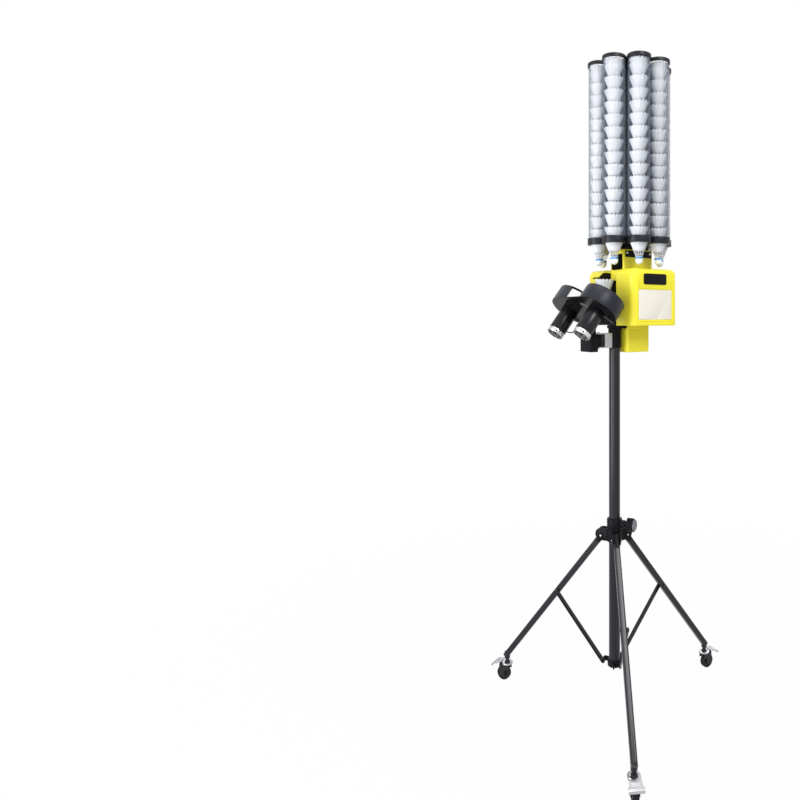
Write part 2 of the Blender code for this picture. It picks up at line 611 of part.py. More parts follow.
def housing(head, yellow, black, pale, steel):
    """The sleeve on the mast, the two cheeks, the liner between them and what they carry."""
    bore = MAST_DIAMETER / 2 + GAP
    sleeve = turned([(0, GAP), (bore, GAP), (bore, -SLEEVE_BELOW), (SLEEVE_RADIUS, -SLEEVE_BELOW),
                     (SLEEVE_RADIUS, SLEEVE_CAP), (0, SLEEVE_CAP)], 24)
    flange = box((BATTERY_FRONT + GAP, FLANGE_FRONT), (-CHANNEL_HALF_WIDTH + 0.002, CHANNEL_HALF_WIDTH - 0.002),
                 (SLEEVE_CAP - 0.002, SLEEVE_CAP + FLANGE_HEIGHT), 0.004, "Z")
    add(sleeve, flange)
    finish(sleeve, "mast_sleeve", black, head)

    left = cheek(1)
    panel_x = (PANEL_FRONT - PANEL_WIDTH, PANEL_FRONT)
    panel_z = (HOUSING_FLOOR + PANEL_FLOOR, HOUSING_FLOOR + PANEL_FLOOR + PANEL_HEIGHT)
    face = HOUSING_HALF_WIDTH
    recess = box(panel_x, (face - PANEL_RECESS, face + 0.01), panel_z, 0.003, "Y")
    groove = box((panel_x[0] - PANEL_LIP, panel_x[1] + PANEL_LIP), (face - 0.001, face + 0.01),
                 (panel_z[0] - PANEL_LIP - 0.004, panel_z[0] - PANEL_LIP - 0.0025))
    badge = box((BADGE_FRONT - BADGE_WIDTH, BADGE_FRONT), (face - 0.001, face + BADGE_THICKNESS),
                (HOUSING_FLOOR + BADGE_FLOOR, HOUSING_FLOOR + BADGE_FLOOR + BADGE_HEIGHT), 0.006, "Y", 3)
    add(left, badge)
    cut(left, recess, groove)
    rear_fittings(left, head, black)
    finish(left, "housing_left", yellow, head)
    panel = box((panel_x[0] + GAP, panel_x[1] - GAP), (face - PANEL_RECESS + GAP, face - 0.0004),
                (panel_z[0] + GAP, panel_z[1] - GAP), 0.003, "Y")
    finish(panel, "side_panel", pale, head)

    right = cheek(-1)
    arch_z = HOUSING_TOP - ARCH_BELOW_TOP
    arch = rod(ARCH_RADIUS, HOUSING_FRONT - ARCH_DEPTH, HOUSING_FRONT + 0.01, 48)
    moved(arch, turn=(0, 90, 0))
    moved(arch, (0, 0, arch_z))
    below = box((HOUSING_FRONT - ARCH_DEPTH, HOUSING_FRONT + 0.01), (-ARCH_RADIUS, 0),
                (HOUSING_FLOOR - 0.01, arch_z))
    slot_z = HOUSING_TOP - SLOT_BELOW_TOP
    slot = box((HOUSING_FRONT - SLOT_DEPTH, HOUSING_FRONT + 0.01),
               (-ARCH_RADIUS - SLOT_LENGTH, -ARCH_RADIUS * 0.5), (slot_z - SLOT_HEIGHT / 2, slot_z + SLOT_HEIGHT / 2))
    cut(right, arch, below, slot)
    finish(right, "housing_right", yellow, head)

    liner_out = CHANNEL_HALF_WIDTH - GAP
    liner_back = HOUSING_BACK + 0.002
    liner = box((liner_back, LINER_FRONT), (-liner_out, liner_out), (HOUSING_FLOOR, HOUSING_TOP - NECK_TUCK - GAP))
    hollow = box((liner_back + LINER_FLOOR, LINER_FRONT + 0.01), (-liner_out + LINER_WALL, liner_out - LINER_WALL),
                 (HOUSING_FLOOR + LINER_FLOOR, HOUSING_TOP))
    cut(liner, hollow)
    finish(liner, "channel_liner", black, head)

    battery = box((BATTERY_BACK, BATTERY_FRONT), (-CHANNEL_HALF_WIDTH, CHANNEL_HALF_WIDTH),
                  (HOUSING_FLOOR - GAP - BATTERY_HEIGHT, HOUSING_FLOOR - GAP), 0.006, "Z")
    finish(battery, "battery_box", yellow, head)


def cheek(side):
    """One box of the housing, with a large round front edge; the drop channel is beside it."""
    bm = bmesh.new()
    outer = side * HOUSING_HALF_WIDTH
    inner = side * CHANNEL_HALF_WIDTH
    front = arc((HOUSING_FRONT - FRONT_EDGE_RADIUS, outer - side * FRONT_EDGE_RADIUS), FRONT_EDGE_RADIUS,
                0, side * 90, 6)
    back = arc((HOUSING_BACK + BACK_EDGE_RADIUS, outer - side * BACK_EDGE_RADIUS), BACK_EDGE_RADIUS,
               side * 90, side * 180, 4)
    outline = front + back + [(HOUSING_BACK, inner), (HOUSING_FRONT, inner)]
    shell = plate(outline, HOUSING_FLOOR, HOUSING_TOP)
    bm.from_mesh(shell.data)
    rim = []
    for edge in bm.edges:
        on_top = all(abs(vert.co.z - HOUSING_TOP) < MERGE for vert in edge.verts)
        on_channel = all(abs(vert.co.y - inner) < MERGE for vert in edge.verts)
        if on_top and not on_channel:
            rim.append(edge)
    bmesh.ops.bevel(bm, geom=rim, offset=TOP_EDGE_RADIUS, segments=4, profile=0.5, affect="EDGES",
                    clamp_overlap=True)
    bpy.data.objects.remove(shell, do_unlink=True)
    return to_object("cheek", bm)


def rear_fittings(cheek_box, head, black):
    """The bezel of the rocker switch and the charging socket, on the back of the left cheek."""
    y = (CHANNEL_HALF_WIDTH + HOUSING_HALF_WIDTH) / 2
    z = HOUSING_FLOOR + SWITCH_HEIGHT
    front = HOUSING_BACK - SWITCH_BEZEL
    bezel = box((front, HOUSING_BACK + 0.001), (y - 0.012, y + 0.012), (z - 0.0175, z + 0.0175), 0.002, "X")
    well = box((front - 0.01, HOUSING_BACK + SWITCH_WELL), (y - 0.009, y + 0.009), (z - 0.0145, z + 0.0145))
    socket = turned([(0, -0.001), (0.009, -0.001), (0.009, 0.003), (0.0045, 0.003), (0.0045, 0.0005),
                     (0.0012, 0.0005), (0.0012, 0.003), (0, 0.003)], 16)
    moved(socket, turn=(0, -90, 0))
    moved(socket, (HOUSING_BACK, y, z - SOCKET_BELOW))
    add(cheek_box, bezel, socket)
    cut(cheek_box, well)
    axis = empty("switch_axis", head, (front + ROCKER_RADIUS * 0.5, y, z))
    rocker = plate(arc((0, 0), ROCKER_RADIUS, 0, 360, 12)[:-1], -0.0085, 0.0085)
    moved(rocker, turn=(90, 0, 0))
    paddle = plate([(-0.0035, -0.0125), (-0.0005, -0.0125), (0.0012, -0.002), (0.0012, 0.002), (-0.0025, 0.0125),
                    (-0.0055, 0.0125), (-0.0022, 0)], -0.0085, 0.0085)
    moved(paddle, turn=(90, 0, 0))
    add(rocker, paddle)
    finish(rocker, "switch_rocker", black, axis)


def neck_and_turntable(head, yellow, black, steel):
    """The box that carries the magazine, its gear motor, and the bearing disc on top."""
    half = CHANNEL_HALF_WIDTH - GAP
    low = HOUSING_TOP - NECK_TUCK
    neck = box((NECK_BACK, NECK_FRONT), (-half, half), (low, NECK_TOP), 0.004, "Z")
    cavity = box((NECK_BACK + NECK_WALL, NECK_FRONT - NECK_WALL), (-half + NECK_WALL, half - NECK_WALL),
                 (low - 0.01, NECK_TOP - NECK_WALL))
    window = box((NECK_FRONT - 2 * NECK_WALL, NECK_FRONT + 0.01), (-WINDOW_HALF_WIDTH, WINDOW_HALF_WIDTH),
                 (HOUSING_TOP, HOUSING_TOP + WINDOW_HEIGHT))
    hole = moved(rod(SHAFT_RADIUS + 2 * GAP, NECK_TOP - 0.01, NECK_TOP + 0.01, 12), (MAGAZINE_X, 0, 0))
    cut(neck, cavity, window, hole)
    strip = box((NECK_BACK + 0.006, NECK_FRONT - 0.007), (half - 0.001, half + STRIP_THICKNESS),
                (NECK_TOP - STRIP_HEIGHT, NECK_TOP), 0.002, "Y", 1)
    add(neck, strip)
    finish(neck, "neck", yellow, head)
    top = NECK_TOP - NECK_WALL - GAP
    gearbox = top - GEARMOTOR_LENGTH * 0.4
    motor = turned([(0, top - GEARMOTOR_LENGTH), (GEARMOTOR_RADIUS - 0.004, top - GEARMOTOR_LENGTH),
                    (GEARMOTOR_RADIUS - 0.002, top - GEARMOTOR_LENGTH + 0.002), (GEARMOTOR_RADIUS - 0.002, gearbox),
                    (GEARMOTOR_RADIUS, gearbox), (GEARMOTOR_RADIUS, top), (0, top)], 16)
    motor.location = (MAGAZINE_X, 0, 0)
    finish(motor, "magazine_motor", steel, head)
    disc = turned([(SHAFT_RADIUS + 2 * GAP, NECK_TOP + GAP), (TURNTABLE_RADIUS - 0.003, NECK_TOP + GAP),
                   (TURNTABLE_RADIUS, NECK_TOP + GAP + 0.003), (TURNTABLE_RADIUS, TURNTABLE_TOP - 0.006),
                   (TURNTABLE_RADIUS - 0.004, TURNTABLE_TOP - 0.006), (TURNTABLE_RADIUS - 0.004, TURNTABLE_TOP),
                   (SHAFT_RADIUS + 2 * GAP, TURNTABLE_TOP)], 22, loop=True)
    disc.location = (MAGAZINE_X, 0, 0)
    finish(disc, "turntable_disc", black, head)


def lobed(low, high):
    """A plate with a round lobe at each tube, joined by a disc."""
    lobe = TUBE_RADIUS + LOBE_WALL
    reach = math.degrees(math.acos((DISC_RADIUS ** 2 - TUBE_CIRCLE ** 2 - lobe ** 2) / (2 * TUBE_CIRCLE * lobe)))
    outline = []
    for index in range(TUBE_COUNT):
        centre = tube_place(index)
        outward = math.degrees((index + 0.5) * TUBE_STEP)
        outline += arc(centre, lobe, outward - reach, outward + reach, 10)
    return plate(outline, low, high)


def tube_place(index):
    angle = (index + 0.5) * TUBE_STEP
    return TUBE_CIRCLE * math.cos(angle), TUBE_CIRCLE * math.sin(angle), 0


def skirt_radius(below_rim):
    """Outer radius of a shuttle's feather skirt at a distance below its rim."""
    slope = (SKIRT_RADIUS - WAIST_RADIUS) / (SHUTTLE_LENGTH - CORK_LENGTH)
    return SKIRT_RADIUS - slope * below_rim


def shuttle_profile(tip):
    """A shuttlecock hanging cork down, from its tip to its rim."""
    cork_top = tip + CORK_LENGTH
    profile = [(0, tip)]
    profile += [(CORK_RADIUS * math.sin(angle), tip + CORK_RADIUS * (1 - math.cos(angle)))
                for angle in (math.pi / 6, math.pi / 3, math.pi / 2)]
    profile += [(CORK_RADIUS, cork_top), (WAIST_RADIUS, cork_top)]
    return profile + [(SKIRT_RADIUS, tip + SHUTTLE_LENGTH)]


def magazine(head, black, clear, white):
    """The rings, the column, the eight clear tubes and the shuttles stacked in them."""
    axis = empty("magazine_axis", head, (MAGAZINE_X, 0, 0))
    ring_top = RING_FLOOR + RING_HEIGHT
    rim_height = TUBE_FLOOR + HANG_ABOVE
    mouth = skirt_radius(rim_height - TUBE_FLOOR) + GAP
    bottom = lobed(RING_FLOOR, ring_top)
    cut(bottom, rod(SHAFT_RADIUS + 2 * GAP, RING_FLOOR - 0.01, ring_top + 0.01, 10))
    for index in range(TUBE_COUNT):
        seat = turned([(0, RING_FLOOR - 0.01), (mouth, RING_FLOOR - 0.01), (mouth, TUBE_FLOOR - GAP),
                       (SEAT_RADIUS, TUBE_FLOOR - GAP), (SEAT_RADIUS, ring_top + 0.01), (0, ring_top + 0.01)],
                      TUBE_SIDES)
        cut(bottom, moved(seat, tube_place(index)))
    finish(bottom, "magazine_ring", black, axis)

    cap_top = CAP_FLOOR + CAP_HEIGHT
    cap = lobed(CAP_FLOOR, cap_top)
    cut(cap, rod(SPIGOT_RADIUS + 2 * GAP, CAP_FLOOR - 0.01, cap_top + 0.01, 16))
    opening = TUBE_RADIUS - TUBE_WALL
    for index in range(TUBE_COUNT):
        seat = turned([(0, CAP_FLOOR - 0.01), (SEAT_RADIUS, CAP_FLOOR - 0.01), (SEAT_RADIUS, TUBE_TOP + GAP),
                       (opening, TUBE_TOP + GAP), (opening, cap_top + 0.01), (0, cap_top + 0.01)], TUBE_SIDES)
        cut(cap, moved(seat, tube_place(index)))
    finish(cap, "magazine_cap", black, axis)

    drive = NECK_TOP - NECK_WALL
    column = turned([(0, drive), (SHAFT_RADIUS, drive), (SHAFT_RADIUS, ring_top + GAP), (COLUMN_RADIUS, ring_top + GAP),
                     (COLUMN_RADIUS, CAP_FLOOR - GAP), (SPIGOT_RADIUS, CAP_FLOOR - GAP),
                     (SPIGOT_RADIUS, cap_top + SPIGOT_PROUD), (0, cap_top + SPIGOT_PROUD)], 16)
    finish(column, "centre_column", black, axis)

    for index in range(TUBE_COUNT):
        place = tube_place(index)
        tube = ring(TUBE_RADIUS, TUBE_RADIUS - TUBE_WALL, TUBE_FLOOR, TUBE_TOP, TUBE_SIDES)
        tube.location = place
        finish(tube, f"shuttle_tube_{index + 1}", clear, axis)
    for index in range(TUBE_COUNT):
        profile = shuttle_profile(rim_height - SHUTTLE_LENGTH)
        rim = rim_height
        for _ in range(STACK_COUNT - 1):
            profile.append((skirt_radius(STACK_PITCH), rim + FEATHER_EDGE))
            rim += STACK_PITCH
            profile.append((SKIRT_RADIUS, rim))
        profile += [(SKIRT_RADIUS - 0.002, rim), (skirt_radius(STACK_RECESS) - 0.002, rim - STACK_RECESS),
                    (0, rim - STACK_RECESS)]
        stack = turned(profile, SHUTTLE_SIDES)
        stack.location = tube_place(index)
        finish(stack, f"shuttle_stack_{index + 1}", white, axis)


def pan_head(head, steel, black):
    """The bracket on the sleeve with its upright pin, and the carrier that turns on it."""
    low = PAN_BRACKET_BOTTOM
    high = PAN_BRACKET_TOP
    half = PAN_BRACKET_HALF_WIDTH
    back = SLEEVE_RADIUS + 2 * GAP
    nose = PAN_X + PAN_KNUCKLE_RADIUS
    bracket = box((back, nose), (-half, half), (low, high), 0.004, "Z")
    throat = box((PAN_X - PAN_KNUCKLE_RADIUS - PAN_THROAT, nose + 0.01), (-half - 0.01, half + 0.01),
                 (low + PAN_PLATE, high - PAN_PLATE))
    pocket = box((back + PAN_PLATE, nose), (-half + PAN_PLATE, half - PAN_PLATE), (low + PAN_PLATE, high - PAN_PLATE))
    cut(bracket, throat, pocket)
    pin = turned([(0, low - PIN_HEAD), (PAN_PIN_RADIUS + 0.002, low - PIN_HEAD), (PAN_PIN_RADIUS + 0.002, low + 0.001),
                  (PAN_PIN_RADIUS, low + 0.001), (PAN_PIN_RADIUS, high - 0.001), (PAN_PIN_RADIUS + 0.002, high - 0.001),
                  (PAN_PIN_RADIUS + 0.002, high + PIN_HEAD), (0, high + PIN_HEAD)], 16)
    add(bracket, moved(pin, (PAN_X, 0, 0)))
    finish(bracket, "pan_bracket", steel, head)

    pan = empty("pan_axis", head, (PAN_X, 0, 0))
    carrier = ring(PAN_KNUCKLE_RADIUS, PAN_PIN_RADIUS + GAP, low + PAN_PLATE + GAP, high - PAN_PLATE - GAP, 24)
    drive_back = DRIVE_BOX_BACK - PAN_X
    arm = box((PAN_PIN_RADIUS + 2 * GAP, drive_back + 0.002), (-0.009, 0.009),
              (low + PAN_PLATE + 4 * GAP, DRIVE_BOX_TOP - 0.002))
    drive = box((drive_back, DRIVE_BOX_FRONT - PAN_X), (-DRIVE_BOX_HALF_WIDTH, DRIVE_BOX_HALF_WIDTH),
                (DRIVE_BOX_BOTTOM, DRIVE_BOX_TOP), 0.003, "Z")
    add(carrier, arm, drive)
    tilt_x = TILT_X - PAN_X
    for side in (-1, 1):
        outline = arc((tilt_x, TILT_HEIGHT), TILT_KNUCKLE_RADIUS, 0, 180, 8)
        outline += [(tilt_x - TILT_KNUCKLE_RADIUS, DRIVE_BOX_TOP - 0.003), (tilt_x + TILT_KNUCKLE_RADIUS, DRIVE_BOX_TOP - 0.003)]
        ear = plate(outline, side * (YOKE_GAP_HALF + GAP), side * (YOKE_GAP_HALF + YOKE_PLATE))
        add(carrier, moved(ear, turn=(90, 0, 0)))
    reach = YOKE_GAP_HALF + YOKE_PLATE + PIN_HEAD
    pin = turned([(0, -reach), (TILT_PIN_RADIUS + 0.0025, -reach), (TILT_PIN_RADIUS + 0.0025, -reach + PIN_HEAD + 0.001),
                  (TILT_PIN_RADIUS, -reach + PIN_HEAD + 0.001), (TILT_PIN_RADIUS, reach - PIN_HEAD - 0.001),
                  (TILT_PIN_RADIUS + 0.0025, reach - PIN_HEAD - 0.001), (TILT_PIN_RADIUS + 0.0025, reach), (0, reach)], 16)
    moved(pin, turn=(90, 0, 0))
    add(carrier, moved(pin, (tilt_x, 0, TILT_HEIGHT)))
    finish(carrier, "pan_carrier", black, pan)
    return pan


def launcher(pan, slate, black, grey, silver, steel, white):
    """The base plate on the tilt pin, with guards, wheels, motors and the feed gripper."""
    tilt = empty("tilt_axis", pan, (TILT_X - PAN_X, 0, TILT_HEIGHT), (0, -ELEVATION, 0))
    low = BASE_TOP - BASE_PLATE
    base = box((LAUNCH_WHEEL_X - BASE_BACK, LAUNCH_WHEEL_X + GUARD_RADIUS), (-LAUNCH_WHEEL_Y, LAUNCH_WHEEL_Y), (low, BASE_TOP))
    for side in (-1, 1):
        add(base, moved(rod(GUARD_RADIUS, low, BASE_TOP, 30), (LAUNCH_WHEEL_X, side * LAUNCH_WHEEL_Y, 0)))
    for side in (-1, 1):
        hole = rod(MOTOR_BOSS_RADIUS + GAP, low - 0.01, BASE_TOP + 0.01, 16)
        cut(base, moved(hole, (LAUNCH_WHEEL_X, side * LAUNCH_WHEEL_Y, 0)))
    knuckle = plate(arc((0, 0), TILT_KNUCKLE_RADIUS, 180, 360, 6)
                    + [(TILT_KNUCKLE_RADIUS, low + 0.001), (-TILT_KNUCKLE_RADIUS, low + 0.001)],
                    -YOKE_GAP_HALF, YOKE_GAP_HALF)
    add(base, moved(knuckle, turn=(90, 0, 0)))
    cut(base, moved(rod(TILT_PIN_RADIUS + GAP, -0.03, 0.03, 16), turn=(90, 0, 0)))
    finish(base, "tilt_base", black, tilt)
    for side, name in ((1, "left"), (-1, "right")):
        centre = (LAUNCH_WHEEL_X, side * LAUNCH_WHEEL_Y, 0)
        finish(drum_guard(side), f"guard_{name}", slate, tilt)
        top = low - GAP
        end = top - LAUNCH_MOTOR_LENGTH
        split = end + MOTOR_CAP_LENGTH
        motor = turned([(0, split - 0.004), (LAUNCH_MOTOR_RADIUS - 0.001, split - 0.004),
                        (LAUNCH_MOTOR_RADIUS - 0.001, split), (LAUNCH_MOTOR_RADIUS, split),
                        (LAUNCH_MOTOR_RADIUS, top - 0.002),
                        (LAUNCH_MOTOR_RADIUS - 0.002, top), (MOTOR_BOSS_RADIUS, top),
                        (MOTOR_BOSS_RADIUS, BASE_TOP - GAP), (0, BASE_TOP - GAP)], 20)
        add(motor, motor_cap(end, split - GAP))
        motor.location = centre
        finish(motor, f"motor_{name}", black, tilt)
        spin = empty(f"launch_axis_{name}", tilt, centre)
        finish(launch_wheel(), f"launch_wheel_{name}", grey, spin)
    motor_lead(tilt, black)
    feed(tilt, steel, white)


def drum_guard(side):
    """A moulded drum over one wheel: round wall, lid, and the lug for the feed pin."""
    centre = (LAUNCH_WHEEL_X, side * LAUNCH_WHEEL_Y)
    rear = 180 + math.degrees(math.asin((LAUNCH_WHEEL_Y - GUARD_INNER_EDGE) / GUARD_RADIUS))
    outer = arc(centre, GUARD_RADIUS, 0, side * rear, 16)
    inner = arc(centre, GUARD_RADIUS - GUARD_WALL, side * rear, 0, 16)
    low = BASE_TOP + GAP
    high = low + GUARD_HEIGHT
    guard = plate(outer + inner, low, high - 0.001)
    lid = rod(GUARD_RADIUS, high - GUARD_WALL, high, 30)
    moved(lid, (centre[0], centre[1], 0))
    trim = box((-1, 1), sorted((-side * 1.0, side * LID_INNER_EDGE)), (low - 1, high + 1))
    cut(lid, trim)
    add(guard, lid)
    near = side * (LID_INNER_EDGE + GAP)
    far = side * (LID_INNER_EDGE + FEED_LUG_WIDTH)
    lug = box((FEED_X - 0.006, FEED_X + 0.006), sorted((near, far)), (high - 0.001, FEED_Z + 0.005), 0.002, "Y")
    hole = moved(rod(FEED_PIN_RADIUS + GAP, -0.05, 0.05, 12), turn=(90, 0, 0))
    moved(hole, (FEED_X, 0, FEED_Z))
    add(guard, lug)
    cut(guard, hole)
    return guard


def launch_wheel():
    """A foam-tyred wheel on its hub, with the motor shaft that carries it."""
    low = LAUNCH_WHEEL_Z - LAUNCH_WHEEL_WIDTH / 2
    high = LAUNCH_WHEEL_Z + LAUNCH_WHEEL_WIDTH / 2
    hub = LAUNCH_WHEEL_RADIUS * 0.2
    rim = LAUNCH_WHEEL_RADIUS * 0.78
    web = LAUNCH_WHEEL_WIDTH * 0.14
    return turned([(0, BASE_TOP), (LAUNCH_SHAFT_RADIUS, BASE_TOP), (LAUNCH_SHAFT_RADIUS, low), (hub, low),
                   (hub, LAUNCH_WHEEL_Z - web), (rim, LAUNCH_WHEEL_Z - web), (rim, low),
                   (LAUNCH_WHEEL_RADIUS, low), (LAUNCH_WHEEL_RADIUS, high), (rim, high),
                   (rim, LAUNCH_WHEEL_Z + web), (hub, LAUNCH_WHEEL_Z + web), (hub, high - 0.004), (0, high - 0.004)],
                  LAUNCH_WHEEL_SIDES)


def motor_cap(end, split):
    """The vented end bell of a motor."""
    radius = LAUNCH_MOTOR_RADIUS
    cap = turned([(0, end), (0.007, end), (0.007, end + 0.002), (0.010, end + 0.002), (0.010, end + 0.0005),
                  (radius - 0.004, end + 0.0005), (radius, end + 0.004), (radius, split), (0, split)], 20)
    for index in range(MOTOR_VENTS):
        slot = box((radius * 0.55, radius * 1.1), (-0.0035, 0.0035), (end - 0.001, end + 0.0065))
        cut(cap, moved(slot, turn=(0, 0, 360 * index / MOTOR_VENTS)))
    return cap


def motor_lead(tilt, black):
    """The short lead from one motor to the other, sagging between them."""
    reach = LAUNCH_WHEEL_Y - LAUNCH_MOTOR_RADIUS - GAP
    height = BASE_TOP - BASE_PLATE - LAUNCH_MOTOR_LENGTH * 0.80
    sag_x = -math.sin(math.radians(ELEVATION)) * LEAD_SAG
    sag_z = -math.cos(math.radians(ELEVATION)) * LEAD_SAG
    curve = bpy.data.curves.new("motor_lead", "CURVE")
    curve.dimensions = "3D"
    curve.bevel_depth = LEAD_RADIUS
    curve.bevel_resolution = 2
    curve.use_fill_caps = True
    line = curve.splines.new("POLY")
    line.points.add(LEAD_POINTS - 1)
    for index, point in enumerate(line.points):
        share = 2 * index / (LEAD_POINTS - 1) - 1
        drop = (1 - share * share) ** 2
        point.co = (LAUNCH_WHEEL_X + sag_x * drop, reach * share, height + sag_z * drop, 1)
    lead = bpy.data.objects.new("motor_lead", curve)
    bpy.context.scene.collection.objects.link(lead)
    curve.materials.append(black)
    lead.parent = tilt


def feed(tilt, steel, white):
    """The pin, and the gripper that swings a shuttle down between the wheels."""
    end = LID_INNER_EDGE + FEED_LUG_WIDTH + 0.001
    pin = moved(rod(FEED_PIN_RADIUS, -end, end, 12), turn=(90, 0, 0))
    swing = empty("feed_axis", tilt, (FEED_X, 0, FEED_Z), (0, ELEVATION, 0))
    half = LID_INNER_EDGE - 0.001
    barrel = moved(rod(FEED_BARREL_RADIUS, -half, half, 16), turn=(90, 0, 0))
    grip_low = -FEED_TIP_BELOW + CORK_RADIUS
    grip = ring(CORK_RADIUS + GAP + GRIP_WALL, CORK_RADIUS + GAP, grip_low, grip_low + GRIP_HEIGHT, 20)
    moved(grip, (-FEED_OFFSET, 0, 0))
    arm = box((-FEED_OFFSET + CORK_RADIUS + 2 * GAP, -FEED_BARREL_RADIUS + 0.002), (-0.008, 0.008),
              (grip_low - 0.004, grip_low + 0.004))
    mouth = box((-FEED_OFFSET - 2 * CORK_RADIUS, -FEED_OFFSET), (-0.006, 0.006), (grip_low - 0.01, grip_low + 0.02))
    add(barrel, pin, arm, grip)
    cut(barrel, mouth)
    finish(barrel, "feed_gripper", steel, swing)
    profile = shuttle_profile(-FEED_TIP_BELOW)
    rim = -FEED_TIP_BELOW + SHUTTLE_LENGTH
    deep = SHUTTLE_LENGTH - CORK_LENGTH - 0.010
    profile += [(SKIRT_RADIUS - 0.0015, rim), (skirt_radius(deep) - 0.0015, rim - deep), (0, rim - deep)]
    shuttle = turned(profile, 16)
    moved(shuttle, (-FEED_OFFSET, 0, 0))
    finish(shuttle, "loaded_shuttle", white, swing)


def build():
    clear_scene()
    steel = material("dark_steel", (0.09, 0.09, 0.10), 0.35, 0.8)
    black = material("black_plastic", (0.02, 0.02, 0.024), 0.5)
    rubber = material("caster_tyre", (0.015, 0.015, 0.015), 0.7)
    chrome = material("chrome", (0.75, 0.75, 0.77), 0.15, 1.0)
    yellow = material("yellow_housing", (0.80, 0.73, 0.04), 0.45)
    pale = material("pale_panel", (0.78, 0.76, 0.68), 0.5)
    slate = material("slate_guard", (0.05, 0.055, 0.07), 0.45)
    grey = material("wheel_foam", (0.72, 0.70, 0.69), 0.8)
    silver = material("silver", (0.70, 0.70, 0.71), 0.3, 0.9)
    clear = material("clear_tube", (0.75, 0.79, 0.84), 0.08, 0.0, 0.25)
    white = material("shuttle_white", (0.88, 0.89, 0.90), 0.6)

    machine = empty("machine", at=(MAST_X, 0, 0))
    mast_and_hub(machine, steel, black)
    collar_and_knob(machine, black)
    for index, azimuth in enumerate(LEG_AZIMUTHS, 1):
        leg(index, azimuth, machine, steel, black, rubber, chrome)
    head = empty("head", machine, (0, 0, MAST_TOP))
    housing(head, yellow, black, pale, steel)
    neck_and_turntable(head, yellow, black, steel)
    magazine(head, black, clear, white)
    pan = pan_head(head, silver, black)
    launcher(pan, slate, black, grey, silver, silver, white)


build()
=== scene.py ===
"""Badminton serving machine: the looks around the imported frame, piece by piece, from the floor up."""
import math

import bpy
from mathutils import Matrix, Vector


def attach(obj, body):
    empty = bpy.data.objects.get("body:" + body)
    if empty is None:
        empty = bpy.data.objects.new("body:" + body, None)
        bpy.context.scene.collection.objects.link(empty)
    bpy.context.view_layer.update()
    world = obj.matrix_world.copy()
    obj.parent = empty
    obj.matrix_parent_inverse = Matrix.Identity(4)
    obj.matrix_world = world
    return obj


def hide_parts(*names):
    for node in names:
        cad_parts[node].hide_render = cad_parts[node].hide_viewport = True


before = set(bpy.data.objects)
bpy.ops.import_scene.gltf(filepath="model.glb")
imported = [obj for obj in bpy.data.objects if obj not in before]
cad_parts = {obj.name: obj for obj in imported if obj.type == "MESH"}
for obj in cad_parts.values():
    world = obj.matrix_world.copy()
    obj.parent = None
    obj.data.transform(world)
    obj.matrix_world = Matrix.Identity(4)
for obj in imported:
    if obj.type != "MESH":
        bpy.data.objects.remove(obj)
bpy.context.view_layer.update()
bpy.ops.object.select_all(action="DESELECT")

# Camera, floor and lamps. The camera stands level where the photographer stood, its frame shifted to
# put the machine on the right. A pale floor and room give soft light, a tall strip lamp on the left
# draws the bright lines down the stand, and other lamps stand above, behind and low in front.
EYE = (1.472, 1.785, 1.336)
VIEW_WAY = (-0.5920, -0.8059, 0)
WHITE = (1, 1, 1, 1)
scene = bpy.context.scene
camera = bpy.data.objects.new("camera", bpy.data.cameras.new("camera"))
scene.collection.objects.link(camera)
camera.location = EYE
camera.rotation_euler = Vector(VIEW_WAY).to_track_quat("-Z", "Y").to_euler()
camera.data.lens = 29.7
camera.data.sensor_width = 36
camera.data.shift_x = -0.254
camera.data.shift_y = -0.1075
camera.data.clip_end = 100
scene.camera = camera
scene.view_settings.view_transform = "Standard"


def lamp(name, place, aim, size, watts):
    """A soft box lamp that faces a point."""
    light = bpy.data.lights.new(name, "AREA")
    light.shape = "RECTANGLE"
    light.size, light.size_y = size
    light.energy = watts
    box = bpy.data.objects.new(name, light)
    scene.collection.objects.link(box)
    box.location = place
    box.rotation_euler = (Vector(aim) - Vector(place)).to_track_quat("-Z", "Y").to_euler()
    box.visible_camera = False


lamp("strip_lamp", (3.2, -0.25, 1.40), (0.1, 0, 1.30), (0.95, 2.9), 80)
lamp("side_lamp", (0.5, 2.7, 3.4), (0.0, 0, 1.4), (1.6, 1.6), 78)
lamp("front_lamp", (2.7, 1.7, 0.9), (0.1, 0, 1.4), (1.6, 1.6), 17)
lamp("top_lamp", (0.5, 0.3, 4.6), (0.1, 0, 1.4), (2.0, 2.0), 46)
lamp("rear_lamp", (-2.8, -2.0, 2.2), (0.1, 0, 1.2), (1.2, 2.2), 18)


def fill(made, **values):
    """Set inputs of a node, each named with underscores in place of its spaces."""
    for label, value in values.items():
        made.inputs[label.replace("_", " ")].default_value = value


def node(tree, kind, operation=None, **values):
    """Add a shader node, with its operation and the values of its inputs."""
    made = tree.nodes.new("ShaderNode" + kind)
    if operation:
        made.operation = operation
    fill(made, **values)
    return made


def wire(tree, *rows):
    """Link nodes: a row names the giving node, its output, the taking node and its input."""
    for giver, given, taker, taken in rows:
        tree.links.new(giver.outputs[given], taker.inputs[taken])


def direct_rays(tree):
    """A node that gives 1 to the rays of the camera and of glossy or clear surfaces, and 0 to others."""
    rays = node(tree, "LightPath")
    mirrored, through = node(tree, "Math"), node(tree, "Math")
    mirrored.use_clamp = through.use_clamp = True
    wire(tree, (rays, "Is Camera Ray", mirrored, 0), (rays, "Is Glossy Ray", mirrored, 1),
        (mirrored, 0, through, 0), (rays, "Is Transmission Ray", through, 1))
    return through


